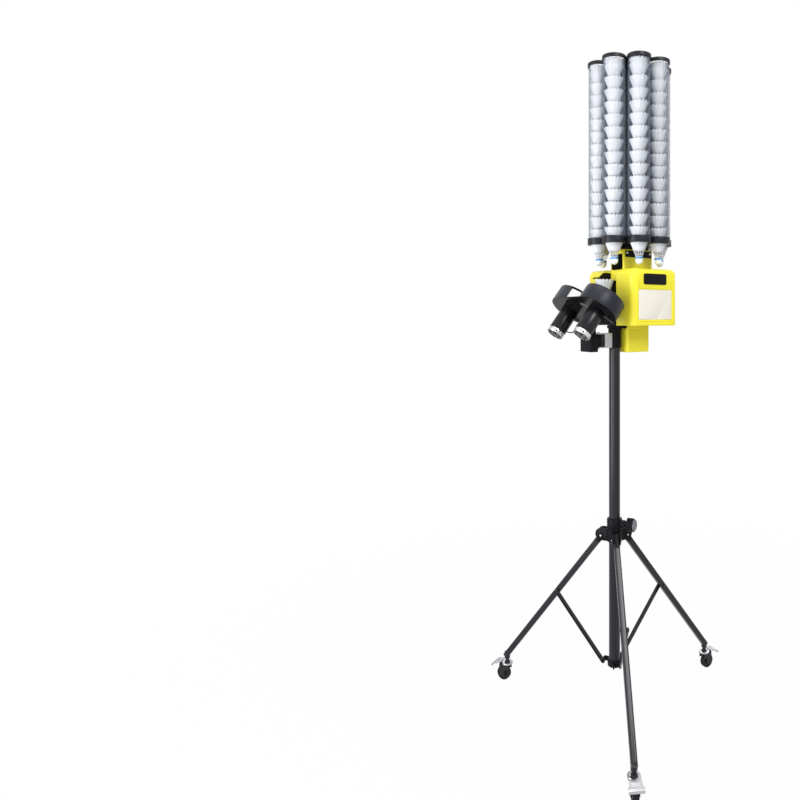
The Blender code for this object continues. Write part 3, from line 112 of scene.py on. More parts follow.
room = bpy.data.worlds.new("room")
scene.world = room
room.use_nodes = True
air = room.node_tree
air.nodes.clear()
soft = node(air, "Background", Color=(0.94, 0.96, 1.0, 1), Strength=0.52)
either = node(air, "MixShader")
wire(air, (direct_rays(air), 0, either, "Fac"), (soft, "Background", either, 1),
    (node(air, "Background", Color=WHITE), "Background", either, 2),
    (either, "Shader", node(air, "OutputWorld"), "Surface"))

bpy.ops.mesh.primitive_plane_add(size=24, location=(0, 0, -0.0004))
floor = bpy.context.object
floor.name = "floor"
paint = bpy.data.materials.new("pale_floor")
paint.use_nodes = True
ground = paint.node_tree
matt = ground.nodes["Principled BSDF"]
fill(matt, Base_Color=(0.62, 0.62, 0.62, 1), Roughness=0.9, Specular_IOR_Level=0.1)
away = node(ground, "VectorMath", "LENGTH")
fade = node(ground, "MapRange", From_Min=0.4, From_Max=2.4, To_Min=0.96)
share = node(ground, "Math", "MULTIPLY")
blend = node(ground, "MixShader")
wire(ground, (node(ground, "TexCoord"), "Object", away, 0), (away, "Value", fade, "Value"),
    (direct_rays(ground), 0, share, 0), (fade, "Result", share, 1), (share, 0, blend, "Fac"),
    (matt, "BSDF", blend, 1), (node(ground, "Emission", Color=WHITE), "Emission", blend, 2),
    (blend, "Shader", ground.nodes["Material Output"], "Surface"))
floor.data.materials.append(paint)
floor.select_set(False)

# Mast: a straight steel tube, open at the top where the head's sleeve goes over it, with a rolled
# edge there. It is powder coated dark grey, with faint long marks where the collar slides.
# Lengths are in millimetres from here on, and MM turns them into the metres of the scene.
MM = 0.001
MAST_AXIS = 113.028
MAST_TOP = 1285
MAST_FOOT = 148.5

# The surface group gives every coated or moulded skin its fine bumps, its cloudy change of shade, and
# the paler wear along its edges and corners.
surface = bpy.data.node_groups.new("worn_surface", "ShaderNodeTree")
for side, kind, labels in (("INPUT", "Color", ("Colour", "Worn colour")),
        ("INPUT", "Float", ("Wear", "Clouding", "Roughness", "Grain size", "Grain depth")),
        ("INPUT", "Vector", ("Stretch",)), ("OUTPUT", "Color", ("Colour",)),
        ("OUTPUT", "Float", ("Roughness",)), ("OUTPUT", "Vector", ("Normal",))):
    for label in labels:
        surface.interface.new_socket(label, in_out=side, socket_type="NodeSocket" + kind)


def colour_mix(tree):
    """A node that mixes two colours, A and B."""
    mix = node(tree, "Mix")
    mix.data_type = "RGBA"
    return mix


way_in, way_out = surface.nodes.new("NodeGroupInput"), surface.nodes.new("NodeGroupOutput")
stretched = node(surface, "VectorMath", "MULTIPLY")
grain = node(surface, "TexNoise", Detail=3)
cloud = node(surface, "TexNoise", Scale=22, Detail=5)
bumps = node(surface, "Bump", Distance=0.0004)
edge = node(surface, "ValToRGB")
edge.color_ramp.elements[0].position = 0.52
edge.color_ramp.elements[1].position = 0.66
broken, worn, rough = (node(surface, "Math", "MULTIPLY") for _ in range(3))
rough.use_clamp = True
shade = node(surface, "MapRange", To_Min=-1.0, To_Max=1.0)
amount = node(surface, "Math", "MULTIPLY_ADD")
amount.inputs[2].default_value = 1.0
tinted = node(surface, "HueSaturation")
mixed = colour_mix(surface)
wire(surface, (node(surface, "TexCoord"), "Object", stretched, 0), (way_in, "Stretch", stretched, 1),
    (stretched, 0, grain, "Vector"), (way_in, "Grain size", grain, "Scale"), (stretched, 0, cloud, "Vector"),
    (way_in, "Grain depth", bumps, "Strength"), (grain, "Fac", bumps, "Height"),
    (bumps, "Normal", way_out, "Normal"), (node(surface, "NewGeometry"), "Pointiness", edge, "Fac"),
    (edge, "Color", broken, 0), (cloud, "Fac", broken, 1), (broken, 0, worn, 0), (way_in, "Wear", worn, 1),
    (cloud, "Fac", shade, "Value"), (shade, "Result", amount, 0), (way_in, "Clouding", amount, 1),
    (way_in, "Colour", tinted, "Color"), (amount, 0, tinted, "Value"), (worn, 0, mixed, "Factor"),
    (tinted, "Color", mixed, "A"), (way_in, "Worn colour", mixed, "B"), (mixed, "Result", way_out, "Colour"),
    (way_in, "Roughness", rough, 0), (amount, 0, rough, 1), (rough, 0, way_out, "Roughness"))


def skin(name, colour, roughness, metallic=0.0, worn=None, wear=0.3, clouding=0.12, size=900.0, depth=0.2,
         stretch=(1, 1, 1), shine=0.5, coat=0.0):
    """A coated, moulded or metal finish with its own grain, clouding and edge wear."""
    finish = bpy.data.materials.new(name)
    finish.use_nodes = True
    tree = finish.node_tree
    shader = tree.nodes["Principled BSDF"]
    effect = node(tree, "Group")
    effect.node_tree = surface
    fill(effect, Colour=(*colour, 1), Worn_colour=(*(worn or [min(1, c * 1.6 + 0.03) for c in colour]), 1),
        Wear=wear, Clouding=clouding, Roughness=roughness, Grain_size=size, Grain_depth=depth, Stretch=stretch)
    fill(shader, Metallic=metallic, Specular_IOR_Level=shine, Coat_Weight=coat, Coat_Roughness=0.10)
    wire(tree, (effect, "Colour", shader, "Base Color"), (effect, "Roughness", shader, "Roughness"),
        (effect, "Normal", shader, "Normal"))
    return finish


def only(*pieces):
    """Select these pieces alone, with the first of them active, and return that one."""
    bpy.ops.object.select_all(action="DESELECT")
    for piece in pieces:
        piece.select_set(True)
    bpy.context.view_layer.objects.active = pieces[0]
    return pieces[0]


def mode(name):
    """Change between edit mode and object mode."""
    bpy.ops.object.mode_set(mode=name)


def turned(name, profile, sides=48, closed=False):
    """A piece turned about Z from points of radius and height, extruded one by one and spun."""
    bpy.ops.object.select_all(action="DESELECT")
    bpy.ops.mesh.primitive_plane_add(size=0.001)
    piece = bpy.context.object
    piece.name = name
    mode("EDIT")
    bpy.ops.mesh.select_mode(type="VERT")
    bpy.ops.mesh.select_all(action="SELECT")
    bpy.ops.mesh.merge(type="CENTER")
    bpy.ops.transform.translate(value=(profile[0][0] * MM, 0, profile[0][1] * MM))
    for (radius, height), (next_radius, next_height) in zip(profile, profile[1:] + profile[:1] * closed):
        step = ((next_radius - radius) * MM, 0, (next_height - height) * MM)
        bpy.ops.mesh.extrude_region_move(TRANSFORM_OT_translate={"value": step})
    bpy.ops.mesh.select_all(action="SELECT")
    bpy.ops.mesh.remove_doubles(threshold=0.000002)
    bpy.ops.mesh.spin(steps=sides, angle=2 * math.pi, center=(0, 0, 0), axis=(0, 0, 1))
    bpy.ops.mesh.select_all(action="SELECT")
    bpy.ops.mesh.remove_doubles(threshold=0.000002)
    bpy.ops.mesh.normals_make_consistent(inside=False)
    mode("OBJECT")
    return piece


def set_down(piece, at=(0, 0, 0), turn=(0, 0, 0)):
    """Turn a piece, put it in its place, and keep that place in its mesh."""
    only(piece)
    piece.rotation_euler = [math.radians(angle) for angle in turn]
    piece.location = [length * MM for length in at]
    bpy.ops.object.transform_apply(location=True, rotation=True, scale=True)
    return piece


def smooth(piece, angle=35):
    """Shade a piece smooth, but for edges sharper than an angle."""
    only(piece)
    bpy.ops.object.shade_smooth_by_angle(angle=math.radians(angle))
    return piece


def soften(piece, width, segments=2, angle=30):
    """Round every edge sharper than an angle, and smooth the shading."""
    only(piece)
    bevel = piece.modifiers.new("soften", "BEVEL")
    bevel.width = width * MM
    bevel.segments = segments
    bevel.limit_method = "ANGLE"
    bevel.angle_limit = math.radians(angle)
    bpy.ops.object.modifier_apply(modifier="soften")
    return smooth(piece)


def mount(piece, body, finish, slot, *nodes):
    """Give a piece its finish, hang it on its body, and let it stand for its CAD nodes; the slot is not used.
    """
    if finish.name not in piece.data.materials:
        piece.data.materials.clear()
        piece.data.materials.append(finish)
    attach(piece, body)
    if nodes:
        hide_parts(*nodes)
    piece.select_set(False)
    return piece


stand_paint = skin("stand_paint", (0.009, 0.009, 0.013), 0.24, 0.15, wear=0.25, clouding=0.10, size=500,
    depth=0.04, stretch=(1, 1, 0.12), shine=0.28, coat=0.10)
mast = turned("mast_tube", [(19, MAST_FOOT), (19, MAST_TOP - 0.5), (18.5, MAST_TOP), (17.2, MAST_TOP),
    (17, MAST_TOP - 0.5), (17, MAST_FOOT)], 64, closed=True)
mount(smooth(set_down(mast, (MAST_AXIS, 0, 0))), "stand", stand_paint, "dark_steel", "mast")

# Brace hub: a cast cup over the foot of the mast, with one flat ear and a riveted pin for each of the
# three braces. Black, satin.
LEG_AZIMUTHS = (60, -60, 180)
HUB_HEIGHT = 156
HUB_PIN = 37


def block(name, x, y, z):
    """A box between two corners, as the start of a piece."""
    bpy.ops.object.select_all(action="DESELECT")
    bpy.ops.mesh.primitive_cube_add(size=1, location=[(low + high) / 2 * MM for low, high in (x, y, z)])
    piece = bpy.context.object
    piece.name = name
    piece.scale = [(high - low) * MM for low, high in (x, y, z)]
    bpy.ops.object.transform_apply(location=True, rotation=True, scale=True)
    return piece


def pick(piece, wanted):
    """Open a piece in edit mode with the edges selected whose middle and direction pass a test."""
    only(piece)
    mode("EDIT")
    bpy.ops.mesh.select_mode(type="EDGE")
    bpy.ops.mesh.select_all(action="DESELECT")
    mode("OBJECT")
    for line in piece.data.edges:
        first, last = (piece.data.vertices[end].co for end in line.vertices)
        line.select = wanted((first + last) / 2 / MM, (last - first).normalized())
    mode("EDIT")


def round_edges(piece, width, segments, wanted):
    """Round the edges that a test on their middle and direction picks."""
    pick(piece, wanted)
    bpy.ops.mesh.bevel(offset=width * MM, segments=segments, affect="EDGES")
    mode("OBJECT")
    return piece


def combine(piece, tool, how="UNION"):
    """Weld a solid on, or cut with it, and throw the tool away."""
    only(piece)
    step = piece.modifiers.new("combine", "BOOLEAN")
    step.operation = how
    step.solver = "EXACT"
    step.object = tool
    bpy.ops.object.modifier_apply(modifier="combine")
    bpy.data.objects.remove(tool, do_unlink=True)
    return piece


def cut(piece, *tools):
    """Cut a piece with each tool."""
    for tool in tools:
        combine(piece, tool, "DIFFERENCE")
    return piece


def weld(piece, *tools):
    """Weld each solid onto a piece."""
    for tool in tools:
        combine(piece, tool)
    return piece


def along(axis):
    """A test that picks the edges along an axis."""
    return lambda _, way: abs(way[axis]) > 0.9


lengthwise, crosswise, upright = (along(axis) for axis in range(3))


def tab(name, length, half, thickness):
    """A flat strip along X that starts at the origin and ends in a half circle of its own width."""
    strip = block(name, (0, length), (-half, half), (-thickness / 2, thickness / 2))
    return round_edges(strip, half * 0.999, 10,
        lambda middle, way: upright(middle, way) and middle.x > length - 0.1)


def to_leg(piece, azimuth):
    """Put a piece that is drawn along +X from the mast's axis in line with one leg."""
    return set_down(piece, (MAST_AXIS, 0, 0), (0, 0, azimuth))


satin_black = skin("satin_black_plastic", (0.006, 0.006, 0.008), 0.38, wear=0.25, clouding=0.15, size=1400,
    depth=0.15, shine=0.07)
hub = turned("brace_hub_cup", [(0, 143.5), (21.5, 143.5), (23.8, 145.8), (23.8, 163.2), (23, 164), (19.6, 164),
    (19.4, 160), (19.4, 148.3), (0, 148.3)], 48)
for azimuth in LEG_AZIMUTHS:
    ear = set_down(tab("ear", 25, 8, 3.5), (20.4, -8.55, 0), (90, 0, 0))
    set_down(ear, (0, 0, HUB_HEIGHT), (0, 0, azimuth))
    pin = turned("pin", [(0, 8), (3, 8), (3, 17.1), (5, 17.1), (5, 18), (4, 19), (0, 19.2)], 20)
    set_down(pin, (HUB_PIN, 0, 0), (-90, 0, 0))
    set_down(pin, (0, 0, HUB_HEIGHT), (0, 0, azimuth))
    weld(hub, ear, pin)
mount(soften(set_down(hub, (MAST_AXIS, 0, 0)), 0.5), "stand", satin_black, "black_plastic", "brace_hub")

# Collar: a moulded clamp that slides on the mast. Its upper ring is split and drawn together by the
# star knob's screw, and its lower body carries three pairs of ears with a riveted pin for the legs.
COLLAR = 581.654
LEG_PIN = 45
KNOB_AZIMUTH = 120
KNOB_UP = 45


def rod(name, radius, low, high, sides=20):
    """A plain round bar on Z between two heights."""
    return turned(name, [(0, low), (radius, low), (radius, high), (0, high)], sides)


collar = turned("collar_body", [(19.4, -16), (25, -16), (25.9, -15.1), (25.9, 26.5), (25, 28), (24.3, 29),
    (25, 30), (25.9, 31.2), (25.9, 59), (24.8, 61), (19.4, 61)], 64, closed=True)
for azimuth in LEG_AZIMUTHS:
    for side in (-1, 1):
        ear = tab("ear", 44.5, 20.5, 3.5)
        set_down(ear, (21, side * 12.05, 4.5), (90, 0, 0))
        set_down(ear, turn=(0, 0, azimuth))
        head = turned("head", [(0, 13), (7, 13), (7, 14.5), (5.8, 15.8), (3.6, 16.3), (0, 16.3)], 24)
        set_down(head, (LEG_PIN, 0, 0), (-90 * side, 0, 0))
        set_down(head, turn=(0, 0, azimuth))
        weld(collar, ear, head)
    pin = set_down(rod("pin", 4, -13.1, 13.1), (LEG_PIN, 0, 0), (90, 0, 0))
    weld(collar, set_down(pin, turn=(0, 0, azimuth)))
lug = round_edges(block("lug", (20.5, 37.9), (-9, 9), (33.5, 56.5)), 3, 4, lengthwise)
bolt_hole = set_down(rod("bolt_hole", 4.3, 0, 80), (0, 0, KNOB_UP), (0, 90, 0))
slit = set_down(block("slit", (17.4, 76), (-1, 1), (33, 62)), turn=(0, 0, 24))
for tool, how in ((lug, "UNION"), (bolt_hole, "DIFFERENCE"), (slit, "DIFFERENCE")):
    combine(collar, set_down(tool, turn=(0, 0, KNOB_AZIMUTH)), how)
mount(soften(set_down(collar, (MAST_AXIS, 0, COLLAR)), 0.6), "collar", satin_black, "black_plastic", "collar")
rivet_steel = skin("rivet_steel", (0.8, 0.8, 0.8), 0.45, wear=0.0, clouding=0.1, size=500, depth=0.05)
for azimuth in LEG_AZIMUTHS:
    for side in (-1, 1):
        rivet = turned("collar_rivet", [(0, 16), (3, 16), (3, 16.6), (2.2, 17.2), (0, 17.4)], 20)
        set_down(rivet, (LEG_PIN, 0, 0), (-90 * side, 0, 0))
        set_down(rivet, turn=(0, 0, azimuth))
        mount(smooth(set_down(rivet, (MAST_AXIS, 0, COLLAR))), "collar", rivet_steel, "silver")

# Clamp knob: a six-lobed star of hard black plastic on its screw, which goes into the collar's lug.
# Its flat outer end is a dark grey.
KNOB_END = 72.2


def copy_of(piece):
    """A second piece of the same shape."""
    only(piece)
    bpy.ops.object.duplicate()
    return bpy.context.object


knob = turned("star_knob", [(0, 19.4), (4, 19.4), (4, 38.2), (9, 38.2), (10, 39.2), (10, 46.2), (17, 46.4),
    (19.8, 49), (19.8, 71.5), (18.5, 74.5), (15, 76.2), (11, 76.2), (8, 75), (0, 74.5)], 48)
lobe = turned("lobe", [(0, 47.2), (5, 47.2), (6.2, 48.4), (6.2, 70), (5.2, 72.5), (3, 73.8), (0, 74.2)], 24)
for turn in [count * math.pi / 3 for count in range(6)]:
    weld(knob, set_down(copy_of(lobe), (16.8 * math.cos(turn), 16.8 * math.sin(turn), 0)))
bpy.data.objects.remove(lobe, do_unlink=True)
set_down(knob, turn=(0, 90, 0))
set_down(knob, turn=(0, 0, KNOB_AZIMUTH))
mount(smooth(set_down(knob, (MAST_AXIS, 0, COLLAR + KNOB_UP)), 40), "knob", satin_black, "black_plastic",
    "clamp_knob")
knob.data.materials.append(skin("knob_end_grey", (0.13, 0.13, 0.145), 0.42, wear=0.2, clouding=0.1, depth=0.15))
outward = math.radians(KNOB_AZIMUTH)
for face in knob.data.polygons:
    across, deep, _ = face.center / MM
    if (across - MAST_AXIS) * math.cos(outward) + deep * math.sin(outward) > KNOB_END:
        face.material_index = 1

# Legs: square steel tube with rounded corners, drilled for the pin at the top and welded to a short
# upright ferrule at the foot, in the same powder coat as the mast. Each has a black end fitting at the
# top and a brace that goes down to the hub.
LEG_SPREAD = 37.9
LEG_LENGTH = 618
BRACE_LENGTH = 273.368
BRACE_LEAN = 40.502
for count, azimuth in enumerate(LEG_AZIMUTHS, 1):
    leg = block(f"leg_tube_{count}", (-10, 10), (-10, 10), (-LEG_LENGTH - 8, 10))
    round_edges(leg, 4.2, 6, upright)
    bore = round_edges(block("bore", (-8.4, 8.4), (-8.4, 8.4), (-LEG_LENGTH - 20, 7.5)), 2.6, 4, upright)
    cut(leg, bore, set_down(rod("pin_hole", 4.5, -20, 20), turn=(90, 0, 0)))
    nut = turned("nut", [(0, 0), (6.2, 0), (6.2, 1), (5, 1), (5, 2.2), (4, 2.8), (0, 2.9)], 20)
    set_down(nut, (0, -9.5, -276), (90, 0, 0))
    ferrule = turned("ferrule", [(6.3, -15), (9.6, -15), (10.2, -14.2), (10.2, 8), (9.4, 8.8), (0, 8.8),
        (0, 5.5), (6.3, 5.5)], 32, closed=True)
    set_down(ferrule, (0, 0, -LEG_LENGTH), (0, LEG_SPREAD, 0))
    weld(leg, nut, ferrule)
    cut(leg, set_down(rod("socket", 6.3, -30, 5.3, 24), (0, 0, -LEG_LENGTH), (0, LEG_SPREAD, 0)))
    to_leg(set_down(leg, (LEG_PIN, 0, COLLAR), (0, -LEG_SPREAD, 0)), azimuth)
    mount(soften(leg, 0.3), f"leg_{count}", stand_paint, "dark_steel", f"leg_{count}")

    # Its black end fitting, which fills the gap between the collar's ears.
    fitting = round_edges(block(f"leg_end_{count}", (-10.15, 10.15), (-10.15, 10.15), (-29, 18)), 4, 4, upright)
    cut(fitting, block("bore", (-9.8, 9.8), (-9.8, 9.8), (-40, 12)),
        set_down(rod("pin_hole", 4.5, -20, 20), turn=(90, 0, 0)))
    to_leg(set_down(fitting, (LEG_PIN, 0, COLLAR), (0, -LEG_SPREAD, 0)), azimuth)
    mount(smooth(fitting), f"leg_{count}", satin_black, "black_plastic")

    # Its brace: a light steel channel, pressed with a flat round end where each rivet goes through.
    brace = block(f"brace_channel_{count}", (-7, 7), (-7, BRACE_LENGTH + 7), (-3, 3))
    round_edges(brace, 6.99, 10, upright)
    trough = block("trough", (-5.4, 5.4), (10.5, BRACE_LENGTH - 10.5), (-4.5, 1.4))
    round_edges(trough, 5, 6, upright)
    cut(brace, trough, rod("eye", 3.5, -10, 10))
    rivet = turned("rivet", [(0, 1), (5, 1), (5, 3.6), (4.2, 4.6), (2, 5), (0, 5)], 20)
    weld(brace, set_down(rivet, (0, BRACE_LENGTH, 0), (180, 0, 0)))
    set_down(brace, turn=(90, 0, 0))
    set_down(brace, (HUB_PIN, 13.6, HUB_HEIGHT), (0, BRACE_LEAN, 0))
    to_leg(brace, azimuth)
    mount(soften(brace, 0.3), f"brace_{count}", stand_paint, "dark_steel", f"brace_{count}")

# Casters: a pressed fork with its swivel ring and stem, a rubber tyre on a moulded hub, and a plated
# pedal plate that is hinged over the wheel and pressed down with the foot to brake it.
FOOT = 424.628
AXLE = (13.5, 0, 25)
PEDAL_PIN = (FOOT + 23.5, 0, 62.5)
PEDAL_SLOPE = 0.35
tyre_rubber = skin("tyre_rubber", (0.006, 0.006, 0.009), 0.5, clouding=0.2, size=800, depth=0.3, shine=0.2)
plated = skin("plated_steel", (0.46, 0.46, 0.48), 0.24, 1.0, wear=0.0, clouding=0.1, size=300, depth=0.04)
pedal_zinc = skin("pedal_zinc", (0.5, 0.5, 0.52), 0.46, 1.0, wear=0.0, clouding=0.15, size=300, depth=0.06)
fork_paint = skin("fork_enamel", (0.008, 0.008, 0.01), 0.3, 0.1, wear=0.35, size=700, depth=0.15, shine=0.25)


def both_ways(half):
    """A profile that is the same above and below its middle, from its lower half."""
    return half + [(radius, -height) for radius, height in reversed(half)]


def sided(side, near, far):
    """A range of Y on one side of the machine, left where side is 1."""
    return sorted((side * near, side * far))


for count, azimuth in enumerate(LEG_AZIMUTHS, 1):
    fork = turned(f"caster_fork_body_{count}", [(0, 55), (15, 55), (17, 58), (19.2, 58.2), (19.2, 60),
        (9.8, 60.2), (9.8, 66.8), (8.5, 68), (6, 68), (6, 99), (0, 99)], 48)
    for side in (-1, 1):
        wall = block("wall", (-10, 26.5), sided(side, 11, 13.5), (16, 58))
        round_edges(wall, 9.5, 8, lambda middle, way: crosswise(middle, way) and middle.z < 30)
        cut(wall, block("toe", (-20, 3.5), sided(side, 10, 14.5), (10, 40)))
        nut = turned("nut", [(0, 10), (6, 10), (6, 14), (5.2, 14.9), (0, 15)], 6)
        set_down(nut, AXLE, (-90 * side, 0, 0))
        lug = block("lug", (20.7, 26.3), sided(side, 10.5, 12.5), (57, 63.9))
        round_edges(lug, 2.6, 5, lambda middle, way: crosswise(middle, way) and middle.z > 60)
        weld(fork, wall, nut, lug)
    crown = round_edges(block("crown", (-10, 26.5), (-13.5, 13.5), (54.1, 58)), 3, 3, upright)
    axle = set_down(rod("axle", 3, -12, 12), AXLE, (90, 0, 0))
    weld(fork, crown, axle)
    to_leg(set_down(fork, (FOOT, 0, 0)), azimuth)
    mount(soften(fork, 0.4), f"fork_{count}", fork_paint, "black_plastic", f"caster_fork_{count}")
    race = turned(f"swivel_race_{count}", [(9.9, 60.3), (19.3, 59.8), (19.6, 60.4), (19.6, 64), (18.9, 65),
        (15, 65.2), (12, 63), (9.9, 62.8)], 64, closed=True)
    mount(smooth(to_leg(set_down(race, (FOOT, 0, 0)), azimuth)), f"fork_{count}", plated, "chrome")

    wheel = turned(f"caster_tyre_{count}", both_ways([(3.3, -10), (7.5, -10), (8, -8.2), (16.5, -7.8),
        (18, -9.4), (22.2, -9.8), (24.2, -8.2), (25, -5), (25, -1.2), (24.6, -0.8)]), 48, closed=True)
    set_down(wheel, (FOOT + AXLE[0], 0, AXLE[2]), (90, 0, 0))
    mount(smooth(to_leg(wheel, azimuth), 40), f"wheel_{count}", tyre_rubber, "caster_tyre",
        f"caster_wheel_{count}")

    pedal = block(f"pedal_plate_{count}", (2.9, 29.6), (-18, 18), (3.3, 4.9))
    round_edges(pedal, 2, 3, upright)
    bar = round_edges(block("bar", (19, 30.5), (-23, 23), (2.9, 5.3)), 3.5, 4, upright)
    lip = block("lip", (28.9, 30.4), (-22.5, 22.5), (-3, 4.5))
    weld(pedal, bar, lip)
    for across in (-17.3, 17.3):
        weld(pedal, block("rim", (3.2, 20), (across - 0.6, across + 0.6), (0, 4.6)))
    for along in (8, 11.5, 15):
        weld(pedal, round_edges(block("rib", (along, along + 1.6), (-12, 12), (4, 5.5)), 0.7, 2, upright))
    for point in pedal.data.vertices:
        point.co.z -= PEDAL_SLOPE * (point.co.x - 3 * MM)
    barrel = set_down(rod("barrel", 2.5, -10.2, 10.2, 24), turn=(90, 0, 0))
    weld(pedal, block("heel", (-3, 3.8), (-17.6, 17.6), (3.4, 4.8)),
        block("web", (-1.2, 1.2), (-8, 8), (0, 4.1)), barrel)
    to_leg(set_down(pedal, PEDAL_PIN), azimuth)
    mount(soften(pedal, 0.3), f"pedal_{count}", pedal_zinc, "chrome", f"brake_pedal_{count}")

# Mast sleeve: a black cap that slips over the mast's top, with a shallow flange plate under the
# channel floor, and two hexagon clamp screws in its left side.


def to_top(piece):
    """Put a piece that is drawn around the mast's top on the machine."""
    return set_down(piece, (MAST_AXIS, 0, MAST_TOP))


sleeve = turned("sleeve_cap", [(19.3, 0.3), (19.3, -64), (20.7, -64), (21.5, -63.2), (21.5, -10.5), (21.1, -10),
    (21.5, -9.5), (21.5, 4), (0, 4), (0, 0.3)], 56)
flange = round_edges(block("flange", (-25.7, 7), (-36, 36), (2, 12)), 4, 5, upright)
screw = turned("screw", [(0, 20), (4.2, 20), (4.2, 23.2), (3.4, 24), (1.6, 24), (1.6, 22.6), (0, 22.6)], 6)
for height in (-24, -50):
    weld(sleeve, set_down(copy_of(screw), (0, 0, height), (-90, 0, 0)))
bpy.data.objects.remove(screw, do_unlink=True)
weld(sleeve, flange)
mount(soften(to_top(sleeve), 0.5), "stand", satin_black, "black_plastic", "mast_sleeve")

# Housing: two moulded cheeks of yellow plastic, with a fine spark texture, a large round front
# edge and a softer one round the top. The shuttles drop through the channel between them.
FRONT, BACK, OUTER, INNER = 22, -169, 129, 38
FLOOR, ROOF = 12.3, 201.3
yellow_moulding = skin("yellow_moulding", (0.8, 0.71, 0.03), 0.42, worn=(0.95, 0.9, 0.25), wear=0.25,
    clouding=0.05, size=1100, depth=0.3, shine=0.4)


def cheek(name, side):
    """One of the two boxes of the housing."""
    box = block(name, (BACK, FRONT), sided(side, INNER, OUTER), (FLOOR, ROOF))
    round_edges(box, 22, 12, lambda middle, way: upright(middle, way) and middle.x > 0 and abs(middle.y) > 100)
    round_edges(box, 16.8, 8,
        lambda middle, way: upright(middle, way) and middle.x < -160 and abs(middle.y) > 100)
    round_edges(box, 20.5, 8, lambda middle, way: middle.z > ROOF - 0.1 and abs(middle.y) > INNER + 0.1)
    round_edges(box, 3, 3, lambda middle, way: middle.z < FLOOR + 0.1 and abs(middle.y) > INNER + 0.1)
    return box


def paint_shade_inside(piece, finish, x, y, z):
    """Give the faces of a recess, found by the range of their middles, a finish of their own: the dark painted
    shade of a shaded recess.
    """
    if finish.name not in piece.data.materials:
        piece.data.materials.append(finish)
    for face in piece.data.polygons:
        across, deep, up = face.center / MM
        if x[0] < across < x[1] and y[0] < deep < y[1] and z[0] < up - MAST_TOP < z[1]:
            face.material_index = len(piece.data.materials) - 1


def plaque(name, x, z, low, high, corner):
    """A flat plate with round corners on the left cheek's face."""
    return round_edges(block(name, x, (low, high), z), corner, 6, crosswise)


left = cheek("left_cheek", 1)
cut(left, plaque("recess", (-144, -1), (32.3, 131.3), 127, 140, 4),
    plaque("lip", (-147.5, 1.5), (28.8, 134.8), 128.5, 140, 6),
    plaque("groove", (-147, 1), (24.6, 26.2), 128.2, 140, 0.6))
switch_well = block("well", (-184.5, -163), (74.5, 92.5), (57.8, 86.8))
bezel = round_edges(block("bezel", (-171, -168), (71.5, 95.5), (54.8, 89.8)), 2, 4, lengthwise)
soften(cut(weld(left, bezel), switch_well), 0.4)
to_top(left)
mount(left, "stand", yellow_moulding, "yellow_housing", "housing_left")

right = cheek("right_cheek", -1)
arch = set_down(turned("arch", [(0, -53), (63, -53), (65, -51), (65, 40), (0, 40)], 96), (0, -9, 134),
    (0, 90, 0))
below = block("below", (-53, 40), (-74, 0), (-20, 134))
slit = round_edges(block("slit", (10, 40), (-97, -30), (173.3, 177.3)), 1.5, 3, lengthwise)
soften(cut(right, arch, below, slit), 0.5)
to_top(right)
mount(right, "stand", yellow_moulding, "yellow_housing", "housing_right")
# The brown black finish is painted shade: the dark that falls inside the arch, the slit, the neck's box and
# down the channel.
channel_shade_finish = skin("channel_painted_shade", (0.016, 0.01, 0.006), 0.55, wear=0.2, clouding=0.3, depth=0.3)
paint_shade_inside(right, channel_shade_finish, (MAST_AXIS - 53.5, MAST_AXIS + 0.5), (-74.5, 0), (0, ROOF - 1.5))
paint_shade_inside(right, channel_shade_finish, (MAST_AXIS + 9.5, MAST_AXIS + 21.5), (-97.5, -74), (172.8, 177.8))

# Panel: a pale beige plate let into the left cheek, the door over the controls. A fine gap runs round
# it, with a narrow lip outside that, and a shallow dip at its lower edge is there to pull it open.
pale_plastic = skin("pale_plastic", (0.735, 0.7, 0.61), 0.62, worn=(0.9, 0.88, 0.82), wear=0.15, clouding=0.04,
    size=1500, depth=0.15, shine=0.2)
panel = plaque("control_panel", (-143.5, -1.5), (32.8, 130.8), 127.3, 128.6, 3.6)
cut(panel, plaque("finger_dip", (-82, -63), (34, 38.5), 128, 140, 2))
mount(soften(to_top(panel), 0.4), "stand", pale_plastic, "pale_panel", "side_panel")

# Badge plate: a glossy black plate with round corners, left bare. It is stuck on the upper part of the
# left cheek, above the panel.
gloss_black = skin("gloss_black_plate", (0.006, 0.006, 0.007), 0.2, wear=0.1, clouding=0.1, size=600,
    depth=0.05, shine=0.1)
badge = plaque("badge_plate", (-119, -21), (147.8, 183.8), 128.8, 130.9, 6.5)
mount(soften(to_top(badge), 0.5, 3), "stand", gloss_black, "black_plastic")

# Rear fittings, on the hidden rear side of the left cheek: a black rocker switch in its frame, pressed
# in at its lower half, and the round charging socket under it.
frame_ring = round_edges(block("switch_frame", (-171.6, -169), (71, 96), (54.3, 90.3)), 2.5, 4, lengthwise)
cut(frame_ring, block("hole", (-180, -160), (74.8, 92.2), (58.1, 86.5)))
mount(soften(to_top(frame_ring), 0.4), "stand", satin_black, "black_plastic")
rocker = block("rocker", (-175, -168.8), (75.2, 91.8), (59.7, 84.8))
for low, high, push in ((70, 90, 0.2), (50, 70, 4.2)):
    pick(rocker, lambda middle, way: crosswise(middle, way) and middle.x < -172 and low < middle.z < high)
    bpy.ops.transform.translate(value=(push * MM, 0, 0))
    mode("OBJECT")
weld(rocker, set_down(rod("pivot", 3, -8.3, 8.3, 24), (-169.5, 83.5, 72.3), (90, 0, 0)))
mount(soften(to_top(rocker), 0.4), "switch", gloss_black, "black_plastic", "switch_rocker")
socket = turned("charging_socket", [(0, 0.1), (4.5, 0.1), (4.5, 2.6), (5.2, 3.4), (8.5, 3.4), (9.3, 2.6),
    (9.3, 0), (0, 0)], 36)
weld(socket, turned("pin", [(0, 0), (1.2, 0), (1.2, 2.8), (0, 3)], 16))
set_down(socket, (-169, 83.5, 40.3), (0, -90, 0))
mount(smooth(to_top(socket)), "stand", satin_black, "black_plastic")

